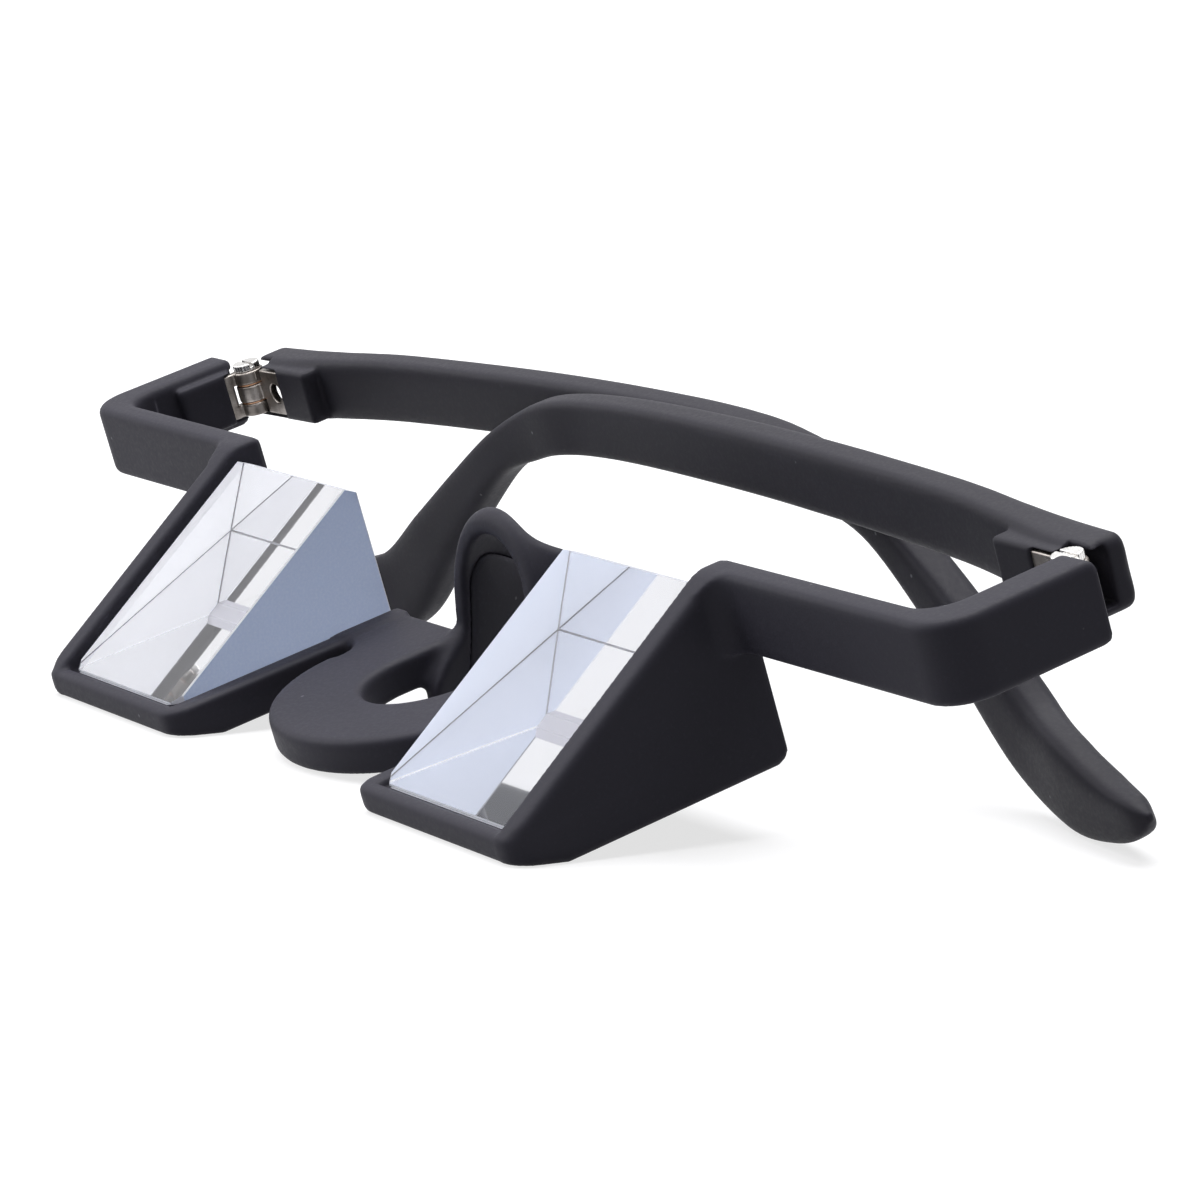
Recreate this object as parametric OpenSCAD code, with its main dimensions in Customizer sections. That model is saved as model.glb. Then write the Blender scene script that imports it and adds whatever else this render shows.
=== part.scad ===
// Belay glasses: prism spectacles that let a wearer look up with a level head.
// Standing on the front lips of the prism shelves and on the tips of the folded temples.
// X runs to the wearer's left, Y to the rear, Z up. Left and right are the wearer's.
// The front is drawn in a shelf frame: s runs rearward along the shelf and t at right angles to it,
// with their origin at the front bottom edge of the prisms.

/* [Prisms] */
// Distance between the middles of the two prisms
pupil_spacing = 61; // [59:0.5:66]
// Width of a prism from side to side
prism_w = 21.5; // [18:0.1:22.5]
// Depth of the mirrored bottom face of a prism
prism_base = 22.5; // [19:0.1:23]
// Angle between the front face and the bottom face
prism_angle = 30; // [28:0.5:31]
// Width of the ground bevel on the top edge
apex_bevel = 1.4; // [0.3:0.1:2]
// Size of the ground corners at the lower front
corner_bevel = 1.3; // [0.5:0.1:2]
// Thickness of the reflecting coat under a prism
mirror_t = 0.12; // [0.08:0.01:0.3]
// Thickness of the adhesive layer under the coat
glue_t = 0.18; // [0.1:0.01:0.4]
// Gap round a prism in its seat
seat_gap = 0.1; // [0.05:0.01:0.2]

/* [Holders] */
// Pitch of the shelves when the glasses stand on a table
stance = 17; // [14:0.5:20]
// Thickness of the shelf under the prism seat
shelf_t = 3; // [2.4:0.1:4.5]
// Height of the lip above the bottom edge of the prism
lip_h = 0.3; // [0.1:0.05:0.8]
// Length of the lip in front of the prism
lip_len = 1.75; // [1.2:0.05:3]
// Width of the ledge on the nose side of the prism
ledge_w = 2.3; // [1.2:0.1:3]
// Distance from the prism edge to the rear of the flat land that the shelf stands on
land_end = 3.2; // [2.4:0.1:4]
// Radius of the rounded edge in front of that land
land_r = 0.8; // [0.4:0.1:1]
// Radius of the two front corners, seen from above
corner_r = 2.4; // [1:0.1:3]
// Thickness of the outer wall
wall_t = 2.7; // [1.8:0.1:4]
// Height of the outer wall above the front face of the prism
rim_h = 1.1; // [0.5:0.1:2]
// Length of the shelf behind the prism
shelf_back = 0.5; // [0.2:0.1:1.5]
// Length of the outer wall behind the prism
wall_back = 1.7; // [1:0.1:2.4]

/* [Bridge] */
// Half width of the round front of the bridge plate
bridge_half_w = 15; // [13.5:0.1:16]
// Depth of that round front
bridge_depth = 12.5; // [11:0.1:14]
// Distance from the prism edge to the front of the bridge plate
bridge_front = 1.7; // [0:0.1:3]
// Half width of the nose slot
slot_half_w = 6.2; // [5:0.1:7]
// Depth of plate in front of the nose slot
slot_front = 8; // [7:0.1:10]
// Thickness of the bridge plate
bridge_t = 3.2; // [2.4:0.1:3.8]

/* [Nose saddle] */
// Thickness of the saddle
saddle_t = 1.8; // [1.4:0.1:2.4]
// Half width of the saddle at the front of its arch
saddle_half_w = 7.7; // [7.2:0.1:8.2]
// Height above the prism seat at which the flanks turn into the arch
saddle_mid = 3.5; // [3:0.1:4.5]
// Distance from the prism edge to the front of the arch
saddle_front = 24.3; // [23.5:0.1:25]
// Angle by which the saddle spreads towards the face
saddle_flare = 17; // [14:0.5:20]
// Angle by which each flank spreads downwards
saddle_tilt = 7; // [3:0.5:10]
// Thickness of a soft nose pad
pad_t = 1.1; // [0.8:0.05:1.4]
// Depth of the seat for a nose pad
pad_seat = 0.4; // [0.2:0.05:0.7]

/* [Arms] */
// Overall width of the front over the arms
front_w = 150.6; // [146:0.2:158]
// Height of an arm
arm_h = 6.8; // [6.4:0.1:8]
// Height of the bottom of an arm above the prism seat
arm_z = 6.8; // [6:0.1:7.5]
// Thickness of the part of an arm that runs outwards
arm_t = 2.6; // [2.2:0.1:3.4]
// Thickness of the part of an arm that runs rearwards
arm_end_t = 4.2; // [3.9:0.1:4.8]
// Distance from the prism edge to the front of an arm
arm_s = 21.7; // [21:0.1:22.2]
// Distance from the prism edge to the end of an arm
arm_end_s = 36.2; // [34.5:0.1:40]
// Outer radius of the bend in an arm
arm_bend_r = 4; // [2.5:0.1:5]

/* [Hinges] */
// Distance from the outer face of an arm to the hinge axis
axis_in = 5.1; // [5:0.05:5.5]
// Distance from the end of an arm to the hinge axis
axis_back = 0.85; // [0.75:0.05:1.1]
// Radius of the hinge barrel
barrel_r = 1.5; // [1.3:0.05:1.6]
// Height of the hinge barrel
barrel_h = 4.4; // [4:0.1:4.6]
// Height of the middle knuckle, which belongs to the temple
knuckle_h = 1.6; // [1.2:0.1:2]
// Thickness of a hinge washer
washer_t = 0.15; // [0.1:0.01:0.25]
// Gap between a washer and the middle knuckle, which gives the hinge its play
knuckle_gap = 0.04; // [0.03:0.01:0.08]
// Radius of the hinge screw
screw_r = 0.7; // [0.6:0.05:0.8]
// Running clearance round the hinge screw
screw_gap = 0.05; // [0.02:0.01:0.09]
// Radius of the screw head
head_r = 1.3; // [1.1:0.05:1.45]
// Height of the screw head
head_h = 0.75; // [0.6:0.05:0.9]
// Thickness of a hinge leaf
leaf_t = 0.8; // [0.6:0.05:0.9]
// Length of the front leaf from the hinge axis
front_leaf_len = 6.4; // [5:0.1:8]
// Length of the temple leaf from the hinge axis
temple_leaf_len = 9.4; // [8:0.1:12]
// Radius of the hole in the temple leaf
leaf_hole_r = 0.95; // [0.6:0.05:1.1]

/* [Temples] */
// Reach of a temple from the hinge axis to its tip
temple_reach = 137.5; // [130:0.5:150]
// Distance from the hinge axis to the start of the ear bend
bend_at = 79.5; // [74:0.5:86]
// Height of a temple at the hinge
temple_h = 6.2; // [6:0.1:7]
// Height of the bar before the ear bend
bar_h = 5.3; // [4:0.1:6]
// Height of the wide part near the tip
paddle_h = 7.6; // [6:0.1:8.4]
// Thickness of a temple at the hinge
temple_end_t = 4.1; // [3.9:0.1:4.6]
// Thickness of the bar
temple_t = 3.2; // [2.6:0.1:3.3]
// Length of the thick block at the hinge
block_len = 10.6; // [10:0.1:14]
// Height by which the blocks round the hinge leaves stand proud on the inside
block_proud = 1.1; // [0.9:0.05:1.2]
// Radius of the notch that clears the screw head
head_notch_r = 1.7; // [1.5:0.05:2]
// Gap between the end of an arm and the open temple
end_gap = 0.3; // [0.2:0.05:0.6]
// Angle that the left temple is short of a right angle to the shelf, folded
left_short = 0.9; // [0.6:0.1:1.2]
// Angle that the right temple is short of a right angle, lying behind the left one
right_short = 4.4; // [4.4:0.1:6]

/* [Hidden] */
$fn = 48;
eps = 0.01;
black = [0.09, 0.09, 0.11];
soft_black = [0.13, 0.13, 0.15];
silver = [0.72, 0.71, 0.70];
bronze = [0.72, 0.50, 0.33];
glass = [0.86, 0.88, 0.94];

prism_h = prism_base * tan(prism_angle);
prism_x = (pupil_spacing - prism_w) / 2;
prism_out = prism_x + prism_w;
seat_t = mirror_t + glue_t;
shelf_bottom = -seat_t - shelf_t;
shelf_in = prism_x - seat_gap - ledge_w;
shelf_rear = prism_base + shelf_back;
wall_in = prism_out + seat_gap;
wall_out = wall_in + wall_t;
wall_rear = prism_base + wall_back;
arm_top = arm_z + arm_h;
arm_out = front_w / 2;
arm_in = arm_out - arm_end_t;
slot_s = bridge_front + slot_front + slot_half_w;
bridge_s = bridge_front + bridge_depth;

axis_x = arm_out - axis_in;
axis_s = arm_end_s + axis_back;
axis_t = arm_z + (arm_h - 0.2) / 2;
pocket_h = barrel_h + 0.4;
pocket_r = barrel_r + 0.35;
pocket_depth = 3.1;
pocket_len = 6.4;
leaf_in = 0.1;
neck_start = barrel_r + 0.25;
side_knuckle_h = (barrel_h - knuckle_h) / 2 - washer_t - knuckle_gap;

// Height of the shelf frame's origin over the table: the lands under the shelves lie on it
stand_z = -land_end * sin(stance) - shelf_bottom * cos(stance);

// Places a part that is drawn in the shelf frame as it stands on the table
module stand() {
    translate([0, stand_y, stand_z]) rotate([stance, 0, 0]) children();
}

// Draws a left-hand part as it is, or mirrored to the wearer's right
module on_side(side) {
    if (side > 0) children();
    else mirror([1, 0, 0]) children();
}

// Frame of a left hinge: origin on the axis at half height, Z along the axis
module hinge_frame() {
    translate([axis_x, axis_s, axis_t]) children();
}

// The same frame turned with the folded temple: Y runs along the temple and X to its outer side.
// The play of the hinge lets the temple tip up or down a little until its end stands on the table.
module temple_frame(short_of, play) {
    hinge_frame() rotate([0, 0, 90 - short_of]) rotate([play, 0, 0]) children();
}

function arc(cx, cy, r, from, to, steps) =
    [for (i = [0 : steps]) let (a = from + (to - from) * i / steps) [cx + r * cos(a), cy + r * sin(a)]];

// Extrudes an outline of [s, t] points along X
module side_extrude(x0, x1) {
    translate([x0, 0, 0]) rotate([90, 0, 90]) linear_extrude(height = x1 - x0) children();
}

// Front of a shelf or wall, from its bottom up to the height top: the land, parallel to the table,
// and above it a rounded edge and the face of the lip
function front_curve(top) =
    let (s = land_r - lip_len, t = shelf_bottom + (land_end - s) * tan(stance) + land_r / cos(stance))
    concat([[land_end, shelf_bottom]], arc(s, t, land_r, 270 - stance, 180, 8),
        arc(0.5 - lip_len, top - 0.5, 0.5, 180, 90, 6));

// Plan of one holder: a rectangle with two rounded front corners
module holder_plan(back) {
    r = corner_r;
    polygon(concat(
        arc(shelf_in + r, -lip_len + r, r, 180, 270, 8),
        arc(wall_out - r, -lip_len + r, r, 270, 360, 8),
        [[wall_out, back], [shelf_in, back]]));
}

// Side view of the shelf with its lip
module shelf_side() {
    polygon(concat(front_curve(lip_h), [[shelf_rear, lip_h], [shelf_rear, shelf_bottom]]));
}

// Side view of the outer wall, which follows the front face of the prism
module wall_side() {
    rim_rise = rim_h / cos(prism_angle);
    apex_s = (arm_top - rim_rise) / tan(prism_angle);
    start_s = -lip_len * 0.45;
    polygon(concat(front_curve(lip_h),
        [[start_s + 0.3, start_s * tan(prism_angle) + rim_rise]],
        [[apex_s, arm_top], [wall_rear, arm_top], [wall_rear, shelf_bottom]]));
}

// One holder without its prism seat
module holder() {
    intersection() {
        union() {
            side_extrude(shelf_in, wall_out) shelf_side();
            side_extrude(wall_in, wall_out) wall_side();
        }
        translate([0, 0, shelf_bottom - 1])
            linear_extrude(height = arm_top - shelf_bottom + 2) holder_plan(wall_rear);
    }
}

// Seat for the prism, its coat and its adhesive, open to the rear
module prism_seat() {
    g = seat_gap;
    translate([prism_x - g, -g, -seat_t])
        cube([prism_w + 2 * g, prism_base + wall_back + 1, seat_t + lip_h + 1]);
}

// Plan of an arm: outwards from the holder, round the bend and rearwards to the hinge
module arm_plan() {
    r = arm_bend_r;
    ri = max(r - arm_t, 0.8) + 1.4;
    back = arm_s + arm_t;
    polygon(concat(
        [[wall_in, arm_s]],
        arc(arm_out - r, arm_s + r, r, 270, 360, 10),
        [[arm_out, arm_end_s], [arm_in, arm_end_s]],
        arc(arm_in - ri, back + ri, ri, 360, 270, 8),
        [[wall_in, back]]));
}

// Corner that blends the arm into the outer wall
module arm_root() {
    r = 2.2;
    translate([0, 0, arm_z]) linear_extrude(height = arm_h) polygon(concat(
        [[wall_out - eps, arm_s + eps]],
        arc(wall_out + r, arm_s - r, r, 90, 180, 8)));
}

// One arm with the block that holds the front half of its hinge
module arm() {
    block_s = axis_s - front_leaf_len - 1.2;
    translate([0, 0, arm_z]) linear_extrude(height = arm_h) arm_plan();
    arm_root();
    translate([arm_in - block_proud, block_s, axis_t - pocket_h / 2 - 0.2])
        cube([block_proud + eps, arm_end_s - block_s, pocket_h + 0.4]);
}

// Room in the end of an arm for the turning knuckle, and the slot for the front leaf
module arm_pocket() {
    hinge_frame() {
        translate([-pocket_r - 2, -axis_back - 1.75, -pocket_h / 2])
            cube([pocket_r + 2 + pocket_depth - 1, 6, pocket_h]);
        translate([leaf_in, -front_leaf_len, -barrel_h / 2])
            cube([leaf_t, front_leaf_len, barrel_h]);
    }
}

// Notch round the hinge axis that clears the screw head and lets a screwdriver in from above
module head_notch() {
    hinge_frame() cylinder(r = head_notch_r, h = arm_h);
}

// Plan of the bridge plate between the holders
module bridge_plan() {
    join = shelf_in + 1;
    difference() {
        union() {
            intersection() {
                translate([0, bridge_s]) scale([1, bridge_depth / bridge_half_w]) circle(r = bridge_half_w, $fn = 96);
                translate([-bridge_half_w, bridge_front - 1]) square([2 * bridge_half_w, bridge_depth + 1]);
            }
            polygon(concat([[-join, shelf_rear]], [[-join, bridge_s + 2.2]],
                arc(-bridge_half_w - 1.9, bridge_s - 0.2, 2.4, 90, 0, 6),
                arc(bridge_half_w + 1.9, bridge_s - 0.2, 2.4, 180, 90, 6),
                [[join, bridge_s + 2.2], [join, shelf_rear]]));
        }
        translate([0, slot_s]) circle(r = slot_half_w, $fn = 64);
        translate([-slot_half_w, slot_s]) square([2 * slot_half_w, shelf_rear]);
    }
}

module bridge() {
    translate([0, 0, lip_h - bridge_t]) linear_extrude(height = bridge_t) bridge_plan();
}

// Side view of the nose saddle, [s, t]: a narrow arch over the nose, whose front edge rises out of the
// nose slot, and two flanks that run down and to the rear beside the nose
saddle_outline = [[17.6, -5.6], [17.6, -3.1], [19.6, -1.1], [22.1, 0.5], [22.7, 2.6], [23.3, 5.0],
    [23.9, 7.4], [24.3, 9.6], [24.9, 12.5], [26.2, 12.5], [25.9, 10.5], [26.1, 9.4], [26.9, 8.5],
    [28.1, 7.6], [29.8, 6.2], [32.4, 4.1], [35.0, 1.9], [36.2, -0.2], [36.1, -2.8], [34.6, -5.6],
    [31.8, -8.0], [28.0, -9.4], [23.6, -9.6], [19.8, -8.4]];
// Side view of a nose pad, which keeps a bare border all round
pad_outline = [[21.9, -3.4], [22.5, -1.4], [23.2, 0.6], [23.8, 2.7], [24.5, 4.8], [25.3, 5.8],
    [26.4, 6.1], [27.8, 5.5], [29.5, 4.3], [31.5, 2.7], [33.3, 0.9], [34.2, -1.2], [33.9, -3.6],
    [32.2, -5.7], [29.6, -7.2], [26.6, -7.6], [23.9, -6.8], [22.3, -5.3]];

// Smooth closed curve through an outline's points
function through(p, steps) = let (n = len(p))
    [for (i = [0 : n - 1]) let (a = p[(i + n - 1) % n], b = p[i], c = p[(i + 1) % n], d = p[(i + 2) % n])
        for (k = [0 : steps - 1]) let (f = k / steps)
            b + f * (c - a) / 2 + f * f * (a - 2.5 * b + 2 * c - d / 2) + f * f * f * (3 * (b - c) + d - a) / 2];

// Inside of the saddle at a depth below its outer face: a cone over two leaning flanks
module saddle_arch(depth) {
    r = saddle_half_w - depth / cos(saddle_flare) / cos(saddle_tilt);
    k = tan(saddle_flare);
    translate([0, 14, saddle_mid]) rotate([-90, 0, 0])
        cylinder(r1 = r + (14 - saddle_front) * k, r2 = r + (40 - saddle_front) * k, h = 26, $fn = 96);
}

// Layer of the saddle between two depths below its outer face
module saddle_layer(from, to) {
    intersection() {
        difference() {
            saddle_arch(from);
            saddle_arch(to);
        }
        translate([-20, 14, saddle_mid]) cube([40, 26, 20]);
    }
    intersection() {
        for (side = [-1, 1]) on_side(side)
            translate([saddle_half_w, saddle_front, saddle_mid]) rotate([0, -saddle_tilt, -saddle_flare])
                translate([-to, -14, -20]) cube([to - from, 32, 24]);
        translate([-20, 10, saddle_mid - 20]) cube([40, 32, 20]);
    }
}

module saddle() {
    intersection() {
        saddle_layer(0, saddle_t);
        side_extrude(-16, 16) polygon(through(saddle_outline, 3));
    }
}

// A left nose pad, set into the inner face of the saddle
module pad_body() {
    intersection() {
        saddle_layer(saddle_t - pad_seat, saddle_t - pad_seat + pad_t);
        side_extrude(0.5, 16) polygon(through(pad_outline, 3));
    }
}

module front_frame() {
    color(black) stand() {
        difference() {
            union() {
                for (side = [-1, 1]) on_side(side) {
                    holder();
                    arm();
                }
                bridge();
                saddle();
            }
            for (side = [-1, 1]) on_side(side) {
                prism_seat();
                arm_pocket();
                head_notch();
                pad_body();
            }
        }
    }
}

// Side view of a prism with the bevel on its top edge
module prism_side() {
    face = prism_base / cos(prism_angle) - apex_bevel;
    polygon([[0, 0], [face * cos(prism_angle), face * sin(prism_angle)],
        [prism_base, prism_h - apex_bevel], [prism_base, 0]]);
}

// Plan of what fills the prism seat, with its two ground corners
module prism_plan(inset) {
    x0 = prism_x + inset;
    x1 = prism_out - inset;
    b = corner_bevel;
    polygon([[x0 + b, inset], [x1 - b, inset], [x1, inset + b],
        [x1, prism_base - inset], [x0, prism_base - inset], [x0, inset + b]]);
}

module prism(side) {
    color(glass) stand() on_side(side) intersection() {
        side_extrude(prism_x, prism_out) prism_side();
        translate([0, 0, -1]) linear_extrude(height = prism_h + 2) prism_plan(0);
    }
}

module mirror_coat(side) {
    color(silver) stand() on_side(side)
        translate([0, 0, -mirror_t]) linear_extrude(height = mirror_t) prism_plan(0.15);
}

module prism_glue(side) {
    color(soft_black) stand() on_side(side)
        translate([0, 0, -seat_t]) linear_extrude(height = glue_t) prism_plan(0.3);
}

module nose_pad(side) {
    color(soft_black) stand() on_side(side) pad_body();
}

module knuckle(z, h, bore) {
    translate([0, 0, z]) difference() {
        cylinder(r = barrel_r, h = h);
        translate([0, 0, -1]) cylinder(r = bore, h = h + 2);
    }
}

// Neck that joins a knuckle to its leaf, on the side dir of the axis
module knuckle_neck(z, h, bore, dir) {
    difference() {
        translate([leaf_in, min(0, dir * (neck_start + 0.4)), z])
            cube([leaf_t, neck_start + 0.4, h]);
        translate([0, 0, z - 1]) cylinder(r = bore, h = h + 2);
    }
}

// Front half of a hinge: two outer knuckles and the leaf set in the arm
module front_hinge(side) {
    bore = screw_r + screw_gap / 2;
    color(silver) stand() on_side(side) hinge_frame() {
        for (z = [-barrel_h / 2, barrel_h / 2 - side_knuckle_h]) {
            knuckle(z, side_knuckle_h, bore);
            knuckle_neck(z, side_knuckle_h, bore, -1);
        }
        translate([leaf_in, -front_leaf_len, -barrel_h / 2])
            cube([leaf_t, front_leaf_len - neck_start, barrel_h]);
    }
}

// Temple half of a hinge: the middle knuckle and the leaf set in the temple
module temple_hinge(side, short_of, play) {
    bore = screw_r + screw_gap;
    color(silver) stand() on_side(side) temple_frame(short_of, play) {
        knuckle(-knuckle_h / 2, knuckle_h, bore);
        knuckle_neck(-knuckle_h / 2, knuckle_h, bore, 1);
        difference() {
            translate([leaf_in, neck_start, -barrel_h / 2])
                cube([leaf_t, temple_leaf_len - neck_start, barrel_h]);
            translate([-1, neck_start + 2.4, 0]) rotate([0, 90, 0]) cylinder(r = leaf_hole_r, h = 4);
        }
    }
}

// Hinge screw with a slotted head, put in from above
module hinge_screw(side) {
    color(silver) stand() on_side(side) hinge_frame() {
        translate([0, 0, -barrel_h / 2]) cylinder(r = screw_r, h = barrel_h + eps);
        difference() {
            translate([0, 0, barrel_h / 2]) cylinder(r = head_r, h = head_h);
            translate([-head_r - 1, -0.16, barrel_h / 2 + head_h * 0.5]) cube([2 * head_r + 2, 0.32, head_h]);
        }
    }
}

// Two thin washers, above and below the middle knuckle
module hinge_washers(side) {
    color(bronze) stand() on_side(side) hinge_frame()
        for (z = [-knuckle_h / 2 - knuckle_gap - washer_t, knuckle_h / 2 + knuckle_gap]) translate([0, 0, z]) difference() {
            cylinder(r = barrel_r - 0.1, h = washer_t);
            translate([0, 0, -1]) cylinder(r = screw_r + screw_gap, h = washer_t + 2);
        }
}

// Stations of a temple, front to tip: [distance along it, share of the drop, height,
// outer face's distance from the hinge axis, thickness]. The bar rises and bows out a little, dips
// behind the ear past a narrow neck, widens into a paddle and curves in at the tip.
neck_h = bar_h * 0.76;
after_bend = temple_reach - bend_at;
stations = [
    [end_gap - axis_back, 0.010, temple_h, axis_in, temple_end_t],
    [6, 0.000, temple_h, axis_in, temple_end_t],
    [block_len + 1.5, -0.012, temple_h - 0.1, axis_in + 0.2, temple_t + 0.3],
    [bend_at * 0.30, -0.029, temple_h - 0.1, axis_in + 0.9, temple_t],
    [bend_at * 0.60, -0.046, bar_h + 0.6, axis_in + 1.4, temple_t],
    [bend_at * 0.85, -0.044, bar_h + 0.3, axis_in + 1.3, temple_t],
    [bend_at, -0.032, bar_h, axis_in + 0.8, temple_t],
    [bend_at + after_bend * 0.12, -0.008, bar_h - 0.2, axis_in, temple_t],
    [bend_at + after_bend * 0.21, 0.058, bar_h - 0.6, axis_in - 0.2, temple_t + 0.1],
    [bend_at + after_bend * 0.31, 0.167, neck_h, axis_in - 0.8, temple_t + 0.3],
    [bend_at + after_bend * 0.42, 0.371, neck_h + 0.7, axis_in - 1.8, temple_t + 0.5],
    [bend_at + after_bend * 0.54, 0.631, paddle_h - 1.4, axis_in - 3.2, temple_t + 0.7],
    [bend_at + after_bend * 0.66, 0.890, paddle_h - 0.1, axis_in - 4.8, temple_t + 0.8],
    [bend_at + after_bend * 0.78, 0.979, paddle_h, axis_in - 7.0, temple_t + 0.7],
    [bend_at + after_bend * 0.89, 0.994, paddle_h - 2.3, axis_in - 8.8, temple_t + 0.3],
    [bend_at + after_bend * 0.965, 0.967, paddle_h - 4.5, axis_in - 10.5, temple_t - 0.7],
    [temple_reach, 0.940, 0.6, axis_in - 12.0, 0.6]];

// Smooth value at place u, counted in stations, of column k
function smooth(k, u) =
    let (last = len(stations) - 1, i = min(floor(u), last - 1), f = u - i,
        a = stations[max(i - 1, 0)][k], b = stations[i][k],
        c = stations[i + 1][k], d = stations[min(i + 2, last)][k])
    b + f * (c - a) / 2 + f * f * (a - 2.5 * b + 2 * c - d / 2) + f * f * f * (3 * (b - c) + d - a) / 2;

// How far to the rear of the hinge axis the underside of the paddle lies at place u, folded
function run_back(u, short_of) =
    smooth(0, u) * sin(short_of) + (smooth(3, u) - smooth(4, u) / 2) * cos(short_of);
// The right temple lies farther back and would end higher over the table, so the play of the two
// hinges is shared out: the left temple tips up and the right one down by the same small angle
low_u = 13.2;
play = asin((run_back(low_u, right_short) - run_back(low_u, left_short)) * tan(stance) / 2 / smooth(0, low_u));
// Both tips then stand on the table: the drop is what the stance leaves under the hinges
// Section of a temple: a rounded rectangle at the hinge, which turns into an oval at the paddle
section_n = 20;
function section_power(u) = 0.4 + 0.2 * min(max((u - 8) / 5, 0), 1);
function signed_power(v, p) = sign(v) * pow(abs(v), p);
function section_point(j, h, t, power) =
    let (a = 360 * j / section_n)
    [signed_power(cos(a), power) * t / 2 - t / 2, signed_power(sin(a), power) * h / 2];

steps_per_station = 3;
ring_n = (len(stations) - 1) * steps_per_station;

function centre_at(u, drop) = [smooth(3, u), smooth(0, u), -smooth(1, u) * drop];
// One ring of the sweep: the section stands square to the run of the temple
function ring(i, drop) =
    let (u = i / steps_per_station, p = centre_at(u, drop), q = centre_at(min(u + 0.05, len(stations) - 1), drop),
        o = centre_at(max(u - 0.05, 0), drop), run = atan2(q[2] - o[2], q[1] - o[1]),
        h = smooth(2, u), t = smooth(4, u))
    [for (j = [0 : section_n - 1]) let (c = section_point(j, h, t, section_power(u)))
        [p[0] + c[0], p[1] - (i == 0 ? 0 : c[1] * sin(run)), p[2] + (i == 0 ? c[1] : c[1] * cos(run))]];

// Place on the table of a point p of a folded temple, [y, z] before the whole is centred
function on_table(p, short_of, tip_up) =
    let (y = p[1] * cos(tip_up) - p[2] * sin(tip_up), z = p[1] * sin(tip_up) + p[2] * cos(tip_up),
        s = axis_s + y * sin(short_of) + p[0] * cos(short_of), t = axis_t + z)
    [s * cos(stance) - t * sin(stance), stand_z + s * sin(stance) + t * cos(stance)];
function lowest(drop) = min([for (side = [-1, 1]) for (i = [36 : ring_n]) for (p = ring(i, drop))
    on_table(p, side > 0 ? left_short : right_short, side * play)[1]]);
// Both tips stand on the table: a first drop is put right by what it leaves under them
first_drop = axis_t + stand_z;
second_drop = first_drop + lowest(first_drop) / cos(stance);
tip_drop = second_drop + lowest(second_drop) / cos(stance);

// Rearmost and foremost places on the table, which centre the whole on the origin
rear_y = max([for (i = [0 : ring_n]) for (p = ring(i, tip_drop)) on_table(p, right_short, -play)[0]]);
front_y = -lip_len * cos(stance) + min([for (p = front_curve(lip_h)) if (p[0] < -lip_len + eps) -p[1]]) * sin(stance);
stand_y = -(rear_y + front_y) / 2;

module temple_bar(drop) {
    points = [for (i = [0 : ring_n]) each ring(i, drop)];
    sides = [for (i = [0 : ring_n - 1]) for (j = [0 : section_n - 1])
        let (a = i * section_n + j, b = i * section_n + (j + 1) % section_n)
        [a, b, b + section_n, a + section_n]];
    ends = [[for (j = [section_n - 1 : -1 : 0]) j], [for (j = [0 : section_n - 1]) ring_n * section_n + j]];
    polyhedron(points = points, faces = concat(sides, ends), convexity = 6);
}

module temple(side, short_of, play) {
    start = end_gap - axis_back;
    half = pocket_h / 2 + 0.2;
    color(black) stand() on_side(side) temple_frame(short_of, play) difference() {
        union() {
            temple_bar(tip_drop);
            translate([axis_in - temple_end_t - block_proud, start, -half])
                cube([block_proud + 1.5, block_len - start, 2 * half]);
        }
        translate([-pocket_r - 2, start - 1, -pocket_h / 2])
            cube([pocket_r + 2 + pocket_depth, pocket_len - start + 1, pocket_h]);
        translate([leaf_in, pocket_len - 1, -barrel_h / 2])
            cube([leaf_t, temple_leaf_len - pocket_len + 1, barrel_h]);
        translate([-6, start - 1, 0]) cube([6 + head_notch_r, head_notch_r + 1.5 - start, temple_h]);
    }
}

front_frame();
prism(-1);  // prism_right
prism(1);  // prism_left
mirror_coat(-1);  // mirror_coat_right
mirror_coat(1);  // mirror_coat_left
prism_glue(-1);  // prism_glue_right
prism_glue(1);  // prism_glue_left
nose_pad(-1);  // nose_pad_right
nose_pad(1);  // nose_pad_left
front_hinge(-1);  // front_hinge_right
front_hinge(1);  // front_hinge_left
temple_hinge(-1, right_short, -play);  // temple_hinge_right
temple_hinge(1, left_short, play);  // temple_hinge_left
hinge_screw(-1);  // hinge_screw_right
hinge_screw(1);  // hinge_screw_left
hinge_washers(-1);  // hinge_washers_right
hinge_washers(1);  // hinge_washers_left
temple(-1, right_short, -play);  // temple_right
temple(1, left_short, play);  // temple_left
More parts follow.
